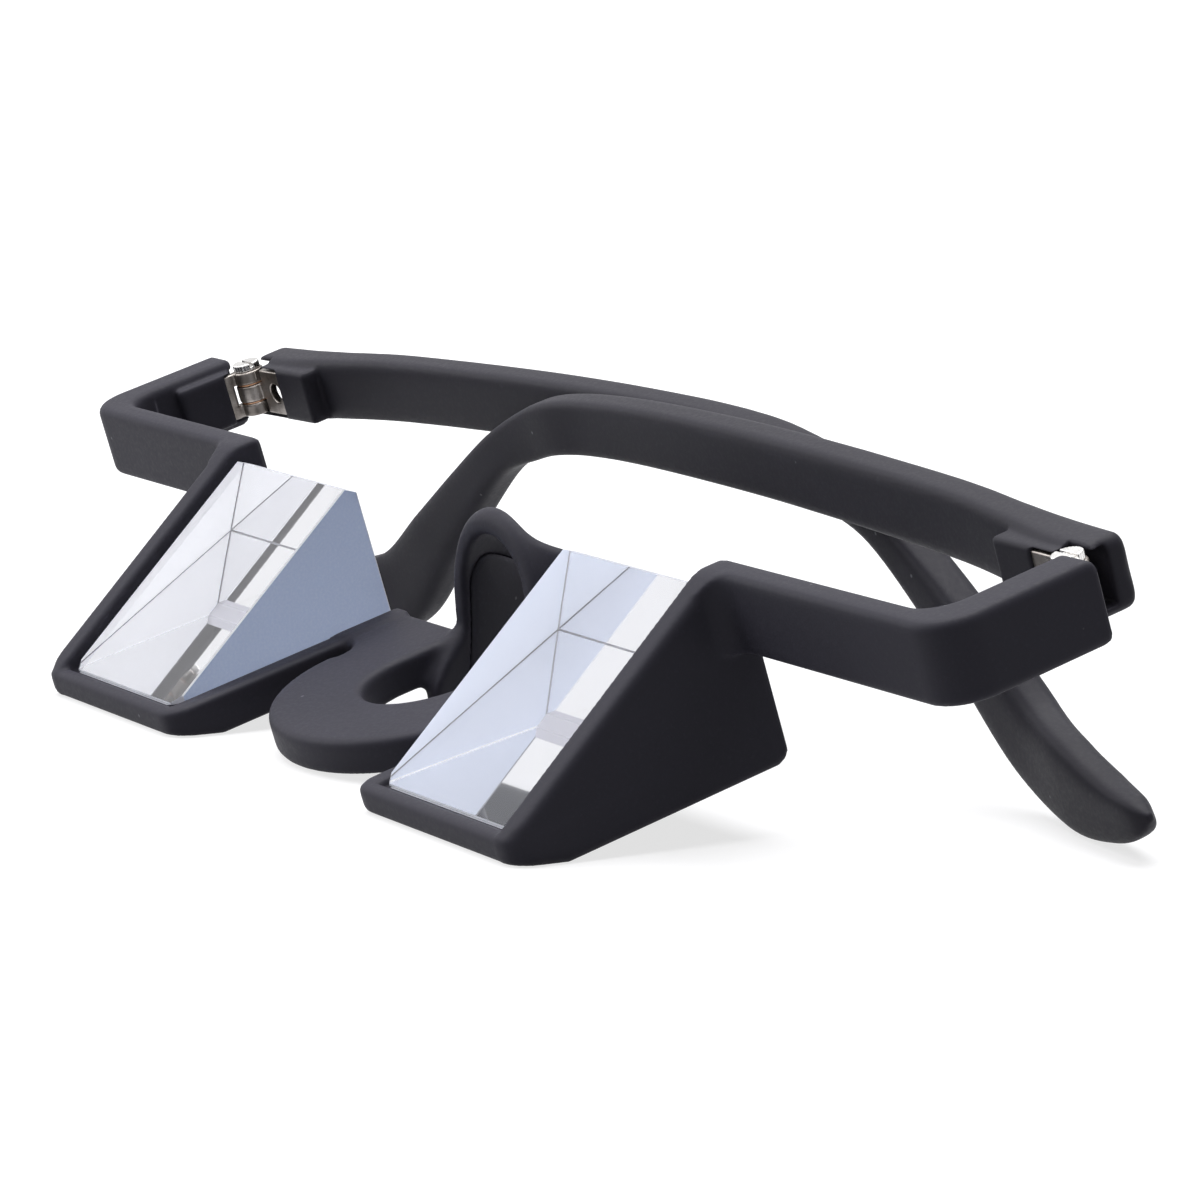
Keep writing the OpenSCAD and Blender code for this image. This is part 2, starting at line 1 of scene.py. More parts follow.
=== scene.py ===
import itertools
import bpy
import numpy as np
from mathutils import Matrix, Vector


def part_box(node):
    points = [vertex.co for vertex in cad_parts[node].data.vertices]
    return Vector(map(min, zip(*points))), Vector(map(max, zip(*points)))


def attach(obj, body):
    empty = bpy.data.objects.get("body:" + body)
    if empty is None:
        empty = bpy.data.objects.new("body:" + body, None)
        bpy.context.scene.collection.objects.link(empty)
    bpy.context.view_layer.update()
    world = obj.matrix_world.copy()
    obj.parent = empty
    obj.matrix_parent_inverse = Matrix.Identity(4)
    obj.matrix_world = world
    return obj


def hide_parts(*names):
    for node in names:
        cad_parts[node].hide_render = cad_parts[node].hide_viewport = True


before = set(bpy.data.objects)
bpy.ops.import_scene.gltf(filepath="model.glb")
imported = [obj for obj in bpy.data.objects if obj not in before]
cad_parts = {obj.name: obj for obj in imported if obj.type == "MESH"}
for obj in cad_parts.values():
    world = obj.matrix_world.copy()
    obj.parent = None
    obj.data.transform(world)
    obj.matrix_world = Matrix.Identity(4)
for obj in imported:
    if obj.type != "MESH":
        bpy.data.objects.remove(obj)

# %% [markdown]
# # Belay glasses
# These spectacles carry two glass prisms, so that a climber's partner looks up with a level head.
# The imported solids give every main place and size. This lesson dresses them: it makes the soft round
# edges of the moulding, the glass, the rubber and the metal, and then lights and frames the picture.
#
# The front is worked out in a tilted frame of its own, because its shelves stand pitched on the table.
# There x runs to the wearer's left, s to the rear along a shelf and t square to it, all in millimetres.

# %% The tilted frame
MM = 0.001
STANCE_DEGREES = 17
STANCE = np.radians(STANCE_DEGREES)
STAND_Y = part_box("prism_left")[0][1] / MM
STAND_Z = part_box("prism_left")[0][2] / MM
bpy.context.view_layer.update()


def stand(points):
    """Place on the table, in metres, of points (x, s, t) of the tilted frame:
    a turn by the stance about X, and then a shift to the frame's origin."""
    x, s, t = np.moveaxis(np.asarray(points, float), -1, 0)
    y = STAND_Y + s * np.cos(STANCE) - t * np.sin(STANCE)
    z = STAND_Z + s * np.sin(STANCE) + t * np.cos(STANCE)
    return np.stack([x, y, z], -1) * MM


print("origin of the tilted frame, mm:", round(STAND_Y, 3), round(STAND_Z, 3))

# %% [markdown]
# ## A skin over a distance field
# The front is one moulding: shelves, walls, arms, a bridge plate and a nose saddle run into each other
# with soft round edges everywhere. A Bevel modifier breaks down where so many faces meet. So the moulding
# is written as a distance field instead: an array that holds, for each point of a grid, how far the point
# is outside the plastic. Round edges and fillets are then plain formulas, and the skin is read off where
# the field is zero.

# %% Outlines and their distances
# stands in for zero where a number is divided by
TINY = 1e-12


def arc(cx, cy, r, start, stop, n=9):
    """Points of a circular arc: the centre plus r times (cos, sin) of n even angles, in degrees."""
    a = np.radians(np.linspace(start, stop, n))
    return np.stack([cx + r * np.cos(a), cy + r * np.sin(a)], -1)


def outline_distance(u, v, outline):
    """Signed distance of points (u, v) from a closed outline, negative inside.
    The distance is to the nearest of its edges, and the side comes from how many edges lie to the right."""
    a = np.asarray(outline, float)
    b = np.roll(a, -1, 0)
    edge = b - a
    wu, wv = u[..., None] - a[:, 0], v[..., None] - a[:, 1]
    along = (wu * edge[:, 0] + wv * edge[:, 1]) / np.maximum((edge ** 2).sum(1), TINY)
    along = np.clip(along, 0, 1)
    gap = np.hypot(wu - along * edge[:, 0], wv - along * edge[:, 1]).min(-1)
    spans = (a[:, 1] > v[..., None]) != (b[:, 1] > v[..., None])
    rise = np.where(edge[:, 1] == 0, 1, edge[:, 1])
    crossed = spans & (wu < wv * edge[:, 0] / rise)
    return np.where(crossed.sum(-1) % 2 == 1, -gap, gap)


def meet(a, b, r):
    """Common part of two fields, with the edge between them rounded to the radius r:
    past the edge, the distance is the length of the two overshoots."""
    return np.minimum(np.maximum(a, b), -r) + np.hypot(np.maximum(a + r, 0), np.maximum(b + r, 0))


def join(a, b, r):
    """Both fields together, with a fillet of radius r in the corner between them."""
    return -meet(-a, -b, r)


def cut(a, b, r):
    """The first field without the second, with a rim rounded to the radius r."""
    return meet(a, -b, r)


def slab(coordinate, low, high):
    """Signed distance from the space between two parallel planes."""
    return np.abs(coordinate - (low + high) / 2) - (high - low) / 2


def brick(x, s, t, low, high, r):
    """Field of a box between two corners, with its edges rounded to the radius r."""
    return meet(meet(slab(x, low[0], high[0]), slab(s, low[1], high[1]), r), slab(t, low[2], high[2]), r)


# %% [markdown]
# ## Surface nets
# A field becomes a mesh by surface nets. Each grid cell that the skin passes through gets one point, in
# the middle of the places where the skin crosses the cell's edges. Each grid edge that crosses the skin
# gets one four-sided face, between the four cells round it. Everything is done for all cells at once, with
# arrays of indices. A last step slides each point along the field's slope on to the exact skin.

# %% From field to mesh
CORNERS = np.array([[i, j, k] for i in (0, 1) for j in (0, 1) for k in (0, 1)])
CELL_EDGES = [(a, b) for a in range(8) for b in range(a + 1, 8)
              if np.abs(CORNERS[a] - CORNERS[b]).sum() == 1]
# the slide on to the skin: its number of steps, the longest step, and the least square of the slope
SLIDES, LONGEST_SLIDE, LEAST_STEEP = 2, 0.4, 0.01


def sample(field, p):
    """Value of a field at places p, counted in grid steps:
    the eight corners of the cell round each place, mixed by how near they are."""
    low = np.clip(np.floor(p).astype(int), 0, np.array(field.shape) - 2)
    f = p - low
    value = 0.0
    for corner in CORNERS:
        weight = np.prod(np.where(corner == 1, f, 1 - f), -1)
        i, j, k = (low + corner).T
        value = value + weight * field[i, j, k]
    return value


def skin(field):
    """Points, in grid steps, and four-sided faces of the surface where a field is zero."""
    inside = field < 0
    whole = np.stack([inside[i:inside.shape[0] - 1 + i, j:inside.shape[1] - 1 + j, k:inside.shape[2] - 1 + k]
                      for i, j, k in CORNERS])
    cells = np.argwhere(whole.any(0) & ~whole.all(0))
    number = np.full(whole.shape[1:], -1)
    number[tuple(cells.T)] = np.arange(len(cells))
    total = np.zeros((len(cells), 3))
    count = np.zeros(len(cells))
    for a, b in CELL_EDGES:
        fa = field[tuple((cells + CORNERS[a]).T)]
        fb = field[tuple((cells + CORNERS[b]).T)]
        crossed = (fa < 0) != (fb < 0)
        share = np.where(crossed, fa / np.where(crossed, fa - fb, 1), 0)
        place = CORNERS[a] + share[:, None] * (CORNERS[b] - CORNERS[a])
        total += place * crossed[:, None]
        count += crossed
    points = cells + total / count[:, None]
    faces = []
    for axis in range(3):
        other = [n for n in range(3) if n != axis]
        step = np.zeros(3, int)
        step[axis] = 1
        first = inside[tuple(slice(0, n - s) for n, s in zip(inside.shape, step))]
        second = inside[tuple(slice(s, n) for n, s in zip(inside.shape, step))]
        edges = np.argwhere(first != second)
        edges = edges[(edges[:, other] > 0).all(1)]
        flip = first[tuple(edges.T)] == (axis == 1)
        ring = []
        for du, dv in ((1, 1), (0, 1), (0, 0), (1, 0)):
            at = edges.copy()
            at[:, other[0]] -= du
            at[:, other[1]] -= dv
            ring.append(number[tuple(at.T)])
        ring = np.stack(ring, 1)
        faces.append(np.where(flip[:, None], ring[:, ::-1], ring))
    half = 0.5 * np.eye(3)
    for _ in range(SLIDES):
        slope = np.stack([sample(field, points + h) - sample(field, points - h) for h in half], -1)
        steep = np.maximum((slope ** 2).sum(-1), LEAST_STEEP)
        move = -(sample(field, points) / steep)[:, None] * slope
        points = points + np.clip(move, -LONGEST_SLIDE, LONGEST_SLIDE)
    return points, np.concatenate(faces)


# %% [markdown]
# ## Putting a piece into the scene
# Each piece is one object at the origin, with its place in its mesh. It rides on the body of the frame
# that it moves with.

# %% Make a piece
def new_piece(name, points, faces, material, body, replaces, smooth=True, finish_of_face=None):
    """Puts points (in metres) and faces into a new mesh object, with faces turned outwards by the caller.
    A piece of several finishes gets a list of materials, and for each face its number in that list."""
    mesh = bpy.data.meshes.new(name)
    mesh.from_pydata(points.tolist(), [], faces.tolist() if hasattr(faces, "tolist") else faces)
    mesh.update()
    if smooth:
        mesh.polygons.foreach_set("use_smooth", np.ones(len(mesh.polygons), bool))
    for one in material if isinstance(material, list) else [material]:
        mesh.materials.append(one)
    if finish_of_face is not None:
        mesh.polygons.foreach_set("material_index", np.asarray(finish_of_face, dtype=np.int32))
    piece = bpy.data.objects.new(name, mesh)
    bpy.context.scene.collection.objects.link(piece)
    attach(piece, body)
    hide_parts(*replaces)
    print(f"{name}: {len(mesh.vertices)} points, {len(mesh.polygons)} faces")


# %% [markdown]
# ## Finishes
# The moulding and the temples have a soft-touch paint: a matte black with a faint violet cast, a very fine
# grain, a few specks of dust and slightly paler convex edges, which are a painted highlight. All of it is
# made from noise on Object coordinates, so that nothing slides when the piece moves.

# %% Node helpers
# the sockets of a Mix node that carry its two colours in and the mixed one out
FIRST_IN, SECOND_IN, MIXED_OUT = 6, 7, 2


def new_material(name):
    """A material with an empty shader tree, its output and a Principled shader."""
    material = bpy.data.materials.new(name)
    material.use_nodes = True
    tree = material.node_tree
    tree.nodes.clear()
    out = tree.nodes.new("ShaderNodeOutputMaterial")
    shader = tree.nodes.new("ShaderNodeBsdfPrincipled")
    tree.links.new(shader.outputs["BSDF"], out.inputs["Surface"])
    return material, tree, shader


def add(tree, kind, settings=None, **inputs):
    """A node with its settings and inputs. An input is named, or numbered as _0, _1 and so on, and it may be
    a value or another node's output."""
    node = tree.nodes.new(kind)
    for key, value in (settings or {}).items():
        setattr(node, key, value)
    for key, value in inputs.items():
        socket = node.inputs[int(key[1:]) if key[0] == "_" else key]
        if isinstance(value, bpy.types.NodeSocket):
            tree.links.new(value, socket)
        else:
            socket.default_value = value
    return node


def noise(tree, scale, detail=3.0, roughness=0.55, vector=None):
    """Noise on Object coordinates: scale is in features per metre."""
    place = vector or add(tree, "ShaderNodeTexCoord").outputs["Object"]
    node = add(tree, "ShaderNodeTexNoise", Vector=place, Scale=scale, Detail=detail, Roughness=roughness)
    return node.outputs["Fac"]


def ramp(tree, factor, stops):
    """A colour ramp from (position, colour) stops."""
    node = add(tree, "ShaderNodeValToRGB", Fac=factor)
    elements = node.color_ramp.elements
    while len(elements) < len(stops):
        elements.new(0.5)
    for element, (position, colour) in zip(elements, stops):
        element.position = position
        element.color = (*colour, 1)
    return node.outputs["Color"]


def mix(tree, factor, a, b):
    """Mixes two colours by a factor."""
    node = add(tree, "ShaderNodeMix", {"data_type": "RGBA", "blend_type": "MIX"}, _0=factor)
    for index, value in ((FIRST_IN, a), (SECOND_IN, b)):
        if isinstance(value, bpy.types.NodeSocket):
            tree.links.new(value, node.inputs[index])
        else:
            node.inputs[index].default_value = (*value, 1)
    return node.outputs[MIXED_OUT]


def carry(tree, value, span, onto):
    """A value carried evenly from one span of numbers on to another, and held at its ends."""
    node = add(tree, "ShaderNodeMapRange", Value=value, _1=span[0], _2=span[1], _3=onto[0], _4=onto[1])
    return node.outputs[0]


def emboss(tree, shader, height, strength, depth):
    """Gives a shader a fine relief from a height, of a depth in metres."""
    bump = add(tree, "ShaderNodeBump", Height=height, Strength=strength, Distance=depth)
    tree.links.new(bump.outputs[0], shader.inputs["Normal"])


def grey(value):
    """A grey colour."""
    return (value, value, value)


def tint(colour, factor):
    """A colour made lighter or darker by a factor, up to full brightness."""
    return tuple(min(c * factor, 1) for c in colour)


# %% Soft-touch black
DUST_COLOUR = (0.26, 0.26, 0.28)


def soft_black(name, base, rough, grain=1.0):
    """Matte paint: base colour with a broad drift, fine mottling, specks of dust, and convex edges painted
    paler as a painted highlight.
    The grain makes the fine relief stronger or weaker."""
    material, tree, shader = new_material(name)
    drift = noise(tree, 90.0, detail=2.0)
    mottle = noise(tree, 2600.0, detail=4.0, roughness=0.6)
    colour = mix(tree, drift, tint(base, 0.86), tint(base, 1.14))
    paler = ramp(tree, mottle, [(0.52, grey(0)), (0.72, grey(0.55))])
    colour = mix(tree, paler, colour, tint(base, 1.35))
    # the convex edges are painted paler: a painted highlight where light catches the rounded edges
    edge = add(tree, "ShaderNodeNewGeometry").outputs["Pointiness"]
    painted_edge_highlight = ramp(tree, edge, [(0.52, grey(0)), (0.62, grey(0.5))])
    colour = mix(tree, painted_edge_highlight, colour, tint(base, 1.6))
    place = add(tree, "ShaderNodeTexCoord").outputs["Object"]
    specks = add(tree, "ShaderNodeTexVoronoi", {"feature": "F1"}, Vector=place, Scale=260.0)
    dust = ramp(tree, specks.outputs["Distance"], [(0.0, grey(0.55)), (0.035, grey(0.25)), (0.05, grey(0))])
    colour = mix(tree, dust, colour, DUST_COLOUR)
    tree.links.new(colour, shader.inputs["Base Color"])
    gloss = carry(tree, mottle, (0.3, 0.7), (rough - 0.06, rough + 0.08))
    tree.links.new(gloss, shader.inputs["Roughness"])
    shader.inputs["Specular IOR Level"].default_value = 0.12
    relief = noise(tree, 5200.0, detail=3.0, roughness=0.6)
    emboss(tree, shader, relief, strength=0.10 * grain, depth=0.00006)
    return material


front_finish = soft_black("soft_black_front", (0.026, 0.025, 0.034), rough=0.56)
temple_finish = soft_black("soft_black_temple", (0.021, 0.020, 0.027), rough=0.52)
print("made", front_finish.name, temple_finish.name)

# %% [markdown]
# ## The front moulding
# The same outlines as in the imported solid, in millimetres: a shelf under each prism with a lip in front, an
# outer wall that follows the prism's sloping face, an arm that runs outwards and bends to the rear, a round
# bridge plate with the nose slot, and the nose saddle. Only one half is worked out, for x of zero and above.
# The field is then mirrored, because a mirrored array costs nothing and both halves meet without a seam.

# %% Sizes of the front
# the prism: its slope, both sides, its length, and what is ground off its top edge and front corners
SLOPE_DEGREES = 30
SLOPE = np.radians(SLOPE_DEGREES)
PRISM = {"x0": 19.75, "x1": 41.25, "base": 22.5, "apex": 1.4, "corner": 1.3}
# the shelf: the depth of its seat, its underside, its inner side and its rear
SEAT, SHELF_LOW, SHELF_X0, SHELF_END = 0.3, -3.3, 17.35, 23.0
# the lip: its front, its top and its rounding
LIP_S, LIP_T, LIP_R = -1.75, 0.3, 0.6
# the outer wall: both sides, its rear, and how far its rim stands over the prism's slope
WALL_X0, WALL_X1, WALL_END, RIM = 41.35, 44.05, 24.2, 1.1
# the arm: under, top and outer face, then front, thickness, rear end and thickness there
ARM_LOW, ARM_HIGH, ARM_OUT = 6.8, 13.6, 75.3
ARM_S, ARM_T, ARM_END, ARM_END_T = 21.7, 2.6, 36.2, 4.2
# the block inside the arm's end that holds the hinge: its front, underside and top
BLOCK_S, BLOCK_LOW, BLOCK_HIGH = 29.45, 7.5, 12.7
# the hinge axis, and the room cut out round it: inwards, up and down, and the radius for the screw's head
AXIS = np.array([70.2, 37.05, 10.1])
ROOM_IN, ROOM_HALF, HEAD_ROOM_R = 3.85, 2.4, 1.7
# the common rounding of the moulding's edges, and the step of its grid
EDGE = 0.75
STEP = 0.3

# %% Grid of the half front
# it reaches a little past the moulding on every side, apart from the middle plane
gx = np.arange(0, 76.6, STEP)
gs = np.arange(-3.1, 40.4, STEP)
gt = np.arange(-11.4, 15.1, STEP)
X, S, T = gx[:, None, None], gs[None, :, None], gt[None, None, :]
side_u, side_v = np.meshgrid(gs, gt, indexing="ij")
plan_u, plan_v = np.meshgrid(gx, gs, indexing="ij")


def from_side(outline):
    """Field of an outline of (s, t) points that runs through all x."""
    return outline_distance(side_u, side_v, outline)[None, :, :]


def from_plan(outline):
    """Field of an outline of (x, s) points that runs through all t."""
    return outline_distance(plan_u, plan_v, outline)[:, :, None]


print("grid of the half front:", len(gx), "x", len(gs), "x", len(gt))

# %% Holder: shelf, lip and outer wall
# the flat land that stands on the table, and the round from it up to the lip
land_end, land_r = 3.2, 0.8
land_s = land_r + LIP_S
land_t = SHELF_LOW + (land_end - land_s) * np.tan(STANCE) + land_r / np.cos(STANCE)
front_curve = np.concatenate([
    [[land_end, SHELF_LOW]], arc(land_s, land_t, land_r, 270 - STANCE_DEGREES, 180),
    arc(LIP_S + LIP_R, LIP_T - LIP_R, LIP_R, 180, 90)])
shelf_outline = np.concatenate([front_curve, [[SHELF_END, LIP_T], [SHELF_END, SHELF_LOW]]])
# the wall's rim starts a little behind the lip and follows the slope to the round apex
rim = RIM / np.cos(SLOPE)
apex_s = (ARM_HIGH - rim) / np.tan(SLOPE)
apex_r, heel_r, corner = 3.2, 1.2, 2.4
bend = apex_r * np.tan(SLOPE / 2)
rim_start = [-0.5, -0.78 * np.tan(SLOPE) + rim]
apex_curve = arc(apex_s + bend, ARM_HIGH - apex_r, apex_r, 90 + SLOPE_DEGREES, 90)
wall_outline = np.concatenate([
    front_curve, [rim_start], apex_curve, [[WALL_END, ARM_HIGH]],
    arc(WALL_END - heel_r, SHELF_LOW + heel_r, heel_r, 0, -90)])
holder_outline = np.concatenate([
    arc(SHELF_X0 + corner, LIP_S + corner, corner, 180, 270),
    arc(WALL_X1 - corner, LIP_S + corner, corner, 270, 360),
    [[WALL_X1, WALL_END], [SHELF_X0, WALL_END]]])
holder_plan = from_plan(holder_outline)
shelf = meet(from_side(shelf_outline), holder_plan, r=0.55)
wall = meet(meet(from_side(wall_outline), holder_plan, r=EDGE), WALL_X0 - X, r=0.5)
front = join(shelf, wall, r=0.25)

# %% Arm, with the corner that blends it into the wall
outer_r, inner_r, root_r = 4.0, 2.8, 2.2
root_x = WALL_X0 + 0.4
arm_back = ARM_S + ARM_T
arm_in = ARM_OUT - ARM_END_T
arm_outline = np.concatenate([
    [[root_x, ARM_S - root_r]], arc(WALL_X1 + root_r, ARM_S - root_r, root_r, 180, 90),
    arc(ARM_OUT - outer_r, ARM_S + outer_r, outer_r, 270, 360, n=14),
    [[ARM_OUT, ARM_END], [arm_in, ARM_END]], arc(arm_in - inner_r, arm_back + inner_r, inner_r, 360, 270),
    [[root_x, arm_back]]])
# the arm's root is kept under the wall's rim, in an outline that runs on well past the rear of the front
far_back = 60.0
under_slope = np.concatenate([
    [rim_start], apex_curve, [[far_back, ARM_HIGH], [far_back, SHELF_LOW], [rim_start[0], SHELF_LOW]]])
arm = meet(from_plan(arm_outline), slab(T, ARM_LOW, ARM_HIGH), r=EDGE)
arm = np.maximum(arm, from_side(under_slope))
hinge_block = brick(X, S, T, (arm_in - 1.1, BLOCK_S, BLOCK_LOW), (arm_in + 1.0, ARM_END, BLOCK_HIGH), r=0.35)
front = join(front, join(arm, hinge_block, r=0.3), r=0.05)

# %% Bridge plate with the nose slot
# half the plate's width, the length of its round front, where that starts, and the plate's thickness
BRIDGE_R, BRIDGE_D, BRIDGE_S, BRIDGE_T = 15.0, 12.5, 14.2, 3.2
SLOT_R, SLOT_S = 6.2, 15.9
neck_r = 2.4
round_front = arc(0, 0, 1, 180, 360, n=61) * [BRIDGE_R, BRIDGE_D] + [0, BRIDGE_S]
# from the round front, a small curve turns outwards and the plate runs in under the shelf
neck = arc(BRIDGE_R + 1.9, BRIDGE_S - 0.2, neck_r, 180, 90)
half_outline = np.concatenate([neck, [[20.0, 16.4], [20.0, SHELF_END]]])
plate = from_plan(np.concatenate([round_front[1:-1], half_outline, (half_outline * [-1, 1])[::-1]]))
slot = join(np.hypot(X, S - SLOT_S) - SLOT_R, np.maximum(X - SLOT_R, SLOT_S - S), r=0.01)
bridge = cut(meet(plate, slab(T, LIP_T - BRIDGE_T, LIP_T), r=0.7), slot, r=0.7)
front = join(front, bridge, r=0.6)

# %% Nose saddle: an arch over the nose and two flanks beside it
# the saddle's thickness and radius, the height of its middle and the place where it has that radius
SADDLE_T, SADDLE_R, SADDLE_MID, SADDLE_S = 1.8, 7.7, 3.5, 24.3
# how far it widens to the rear, how far its flanks lean out, and how softly the lean sets in
FLARE, TILT, LEAN_IN = np.radians(17), np.radians(7), 1.2
# how deep a pad sits in the saddle, and the play round it
PAD_SUNK, PAD_PLAY = 0.4, 0.02
# outlines of the saddle and of a pad in the side view, in rows (s, t)
saddle_points = np.array([
    [17.6, -5.6], [17.6, -3.1], [19.6, -1.1], [22.1, 0.5], [22.7, 2.6], [23.3, 5.0], [23.9, 7.4], [24.3, 9.6],
    [24.9, 12.5], [26.2, 12.5], [25.9, 10.5], [26.1, 9.4], [26.9, 8.5], [28.1, 7.6], [29.8, 6.2], [32.4, 4.1],
    [35.0, 1.9], [36.2, -0.2], [36.1, -2.8], [34.6, -5.6], [31.8, -8.0], [28.0, -9.4], [23.6, -9.6],
    [19.8, -8.4]])
pad_points = np.array([
    [21.9, -3.4], [22.5, -1.4], [23.2, 0.6], [23.8, 2.7], [24.5, 4.8], [25.3, 5.8], [26.4, 6.1], [27.8, 5.5],
    [29.5, 4.3], [31.5, 2.7], [33.3, 0.9], [34.2, -1.2], [33.9, -3.6], [32.2, -5.7], [29.6, -7.2],
    [26.6, -7.6], [23.9, -6.8], [22.3, -5.3]])


def cubic(a, b, c, d, f):
    """The point a share f of the way from b to c, on a cubic through both. Its slope at b is half the chord
    from a to c, and at c half the chord from b to d, so that one stretch runs smoothly into the next."""
    first = f * (c - a) / 2
    second = f ** 2 * (a - 2.5 * b + 2 * c - d / 2)
    third = f ** 3 * (3 * (b - c) + d - a) / 2
    return b + first + second + third


def closed_curve(points, n):
    """n points of a smooth closed curve, which is a cubic from each given point to the next."""
    u = np.linspace(0, len(points), n, endpoint=False)
    i = u.astype(int)
    around = [points[(i + k) % len(points)] for k in (-1, 0, 1, 2)]
    return cubic(*around, (u - i)[:, None])


def saddle_outer(x, s, t):
    """Distance outside the saddle's outer face. Above the middle height that face is a cone round the nose,
    which widens to the rear. Below it, the cone's sides run on as two planes that lean outwards. The lean
    sets in softly: it grows as b - c * (1 - exp(-b / c)), where b is the way below and c is LEAN_IN."""
    radius = SADDLE_R + (s - SADDLE_S) * np.tan(FLARE)
    below = np.maximum(SADDLE_MID - t, 0)
    lean = (below - LEAN_IN * (1 - np.exp(-below / LEAN_IN))) * np.tan(TILT) / np.cos(FLARE)
    return (np.hypot(x, np.maximum(t - SADDLE_MID, 0)) - radius - lean) * np.cos(FLARE) * np.cos(TILT)


# the part of the grid that the saddle lies in, in millimetres from the grid's own start
SADDLE_WIDE, SADDLE_FROM, SADDLE_UP = 18, 18, 25.5
part = (slice(0, int(SADDLE_WIDE / STEP)), slice(int(SADDLE_FROM / STEP), None),
        slice(0, int(SADDLE_UP / STEP)))
depth = saddle_outer(X[part[0]], S[:, part[1]], T[:, :, part[2]])
saddle_side = from_side(closed_curve(saddle_points, 92))[:, part[1], part[2]]
pad_side = from_side(closed_curve(pad_points, 72))[:, part[1], part[2]]
saddle = meet(slab(depth, -SADDLE_T, 0), saddle_side, r=0.65)
front[part] = join(front[part], saddle, r=1.1)
print("saddle covers", int((saddle < 0).sum()), "grid points")

# %% Seat of the prism, and room for the hinge
seat = brick(X, S, T, (PRISM["x0"] - 0.1, -0.1, -SEAT), (PRISM["x1"] + 0.1, 40.0, 1.3), r=0.02)
front = cut(front, seat, r=0.12)
ax, a_s, a_t = AXIS
room_low = (ax - ROOM_IN, a_s - 2.6, a_t - ROOM_HALF)
room_high = (ax + 2.1, a_s + 3.4, a_t + ROOM_HALF)
head_room = np.maximum(np.hypot(X - ax, S - a_s) - HEAD_ROOM_R, a_t - T)
front = cut(front, brick(X, S, T, room_low, room_high, r=0.3), r=0.25)
front = cut(front, head_room, r=0.25)

# %% Seats of the nose pads
pad_room = meet(pad_side - PAD_PLAY, depth + SADDLE_T - PAD_SUNK, r=0.05)
front[part] = cut(front[part], pad_room, r=0.1)

# %% Skin of the front moulding
whole = np.concatenate([front[:0:-1], front])
points, faces = skin(whole)
points = points * STEP + [-gx[-1], gs[0], gt[0]]
new_piece("front_moulding", stand(points), faces, front_finish, "front",
          replaces=["front_frame"])
print("front moulding, mm:", points.min(0).round(2), points.max(0).round(2))

# %% [markdown]
# ## The temples
# A temple is a bar whose section is carried along a curved line: squarish at the hinge, thin and slightly
# bowed along the head, necked where it dips behind the ear, and widened into an oval paddle at its tip.
# The block round the hinge is boxed on to it. The bar could be swept as a grid, but the pockets of the
# hinge would then have to be cut from it, so this is a distance field as well: for each point of the side
# view the nearest station of the line is found first, and then the section there is a formula.

# %% Stations of a temple
# all from the hinge axis: where the bar starts, where it bends behind the ear, its reach and its drop
START, BEND, REACH, DROP = -0.55, 79.5, 137.5, 20.686
after = REACH - BEND
# distance from the hinge, share of the drop, height, outer face from the axis, thickness
stations = np.array([
    [START, 0.010, 6.2, 5.1, 4.1], [6, 0.000, 6.2, 5.1, 4.1], [12.1, -0.012, 6.1, 5.3, 3.5],
    [BEND * 0.30, -0.029, 6.1, 6.0, 3.2], [BEND * 0.60, -0.046, 5.9, 6.5, 3.2],
    [BEND * 0.85, -0.044, 5.6, 6.4, 3.2], [BEND, -0.032, 5.3, 5.9, 3.2],
    [BEND + after * 0.12, -0.008, 5.1, 5.1, 3.2], [BEND + after * 0.21, 0.058, 4.7, 4.9, 3.3],
    [BEND + after * 0.31, 0.167, 4.03, 4.3, 3.5], [BEND + after * 0.42, 0.371, 4.73, 3.3, 3.7],
    [BEND + after * 0.54, 0.631, 6.2, 1.9, 3.9], [BEND + after * 0.66, 0.890, 7.5, 0.3, 4.0],
    [BEND + after * 0.78, 0.979, 7.6, -1.9, 3.9], [BEND + after * 0.89, 0.994, 5.3, -3.7, 3.5],
    [BEND + after * 0.965, 0.967, 3.1, -5.4, 2.5], [REACH, 0.940, 0.6, -6.9, 0.6]])


def open_curve(rows, steps):
    """A smooth curve through rows of numbers, which is a cubic of so many steps from each row to the next,
    and the place u of each of its points, counted in rows."""
    last = len(rows) - 1
    u = np.linspace(0, last, last * steps + 1)
    i = np.minimum(u.astype(int), last - 1)
    around = [rows[np.clip(i + k, 0, last)] for k in (-1, 0, 1, 2)]
    return u, cubic(*around, (u - i)[:, None])


place_u, line = open_curve(stations, steps=24)
line_l, line_z = line[:, 0], -line[:, 1] * DROP
print("temple line:", len(line), "places, ends at", line[-1].round(2))

# %% Field of the bar
BAR_STEP = 0.2
hl = np.arange(-2.2, 140.0, BAR_STEP)
hz = np.arange(-26.5, 6.2, BAR_STEP)
hw = np.arange(-9.5, 8.9, BAR_STEP)
grid_l, grid_z = np.meshgrid(hl, hz, indexing="ij")
nearest = np.empty(grid_l.shape, int)
# some rows of the grid at a time, which keeps the array of all gaps small
AT_ONCE = 32
for row in range(0, len(hl), AT_ONCE):
    rows = slice(row, row + AT_ONCE)
    gap = np.hypot(grid_l[rows, :, None] - line_l, grid_z[rows, :, None] - line_z)
    nearest[rows] = gap.argmin(-1)
run = np.gradient(np.stack([line_l, line_z]), axis=1)
run /= np.hypot(*run)
off_l, off_z = grid_l - line_l[nearest], grid_z - line_z[nearest]
along = off_l * run[0][nearest] + off_z * run[1][nearest]
across = off_z * run[0][nearest] - off_l * run[1][nearest]
pace = np.gradient(line, axis=0)
step_len = np.hypot(pace[:, 0], pace[:, 1] * DROP)
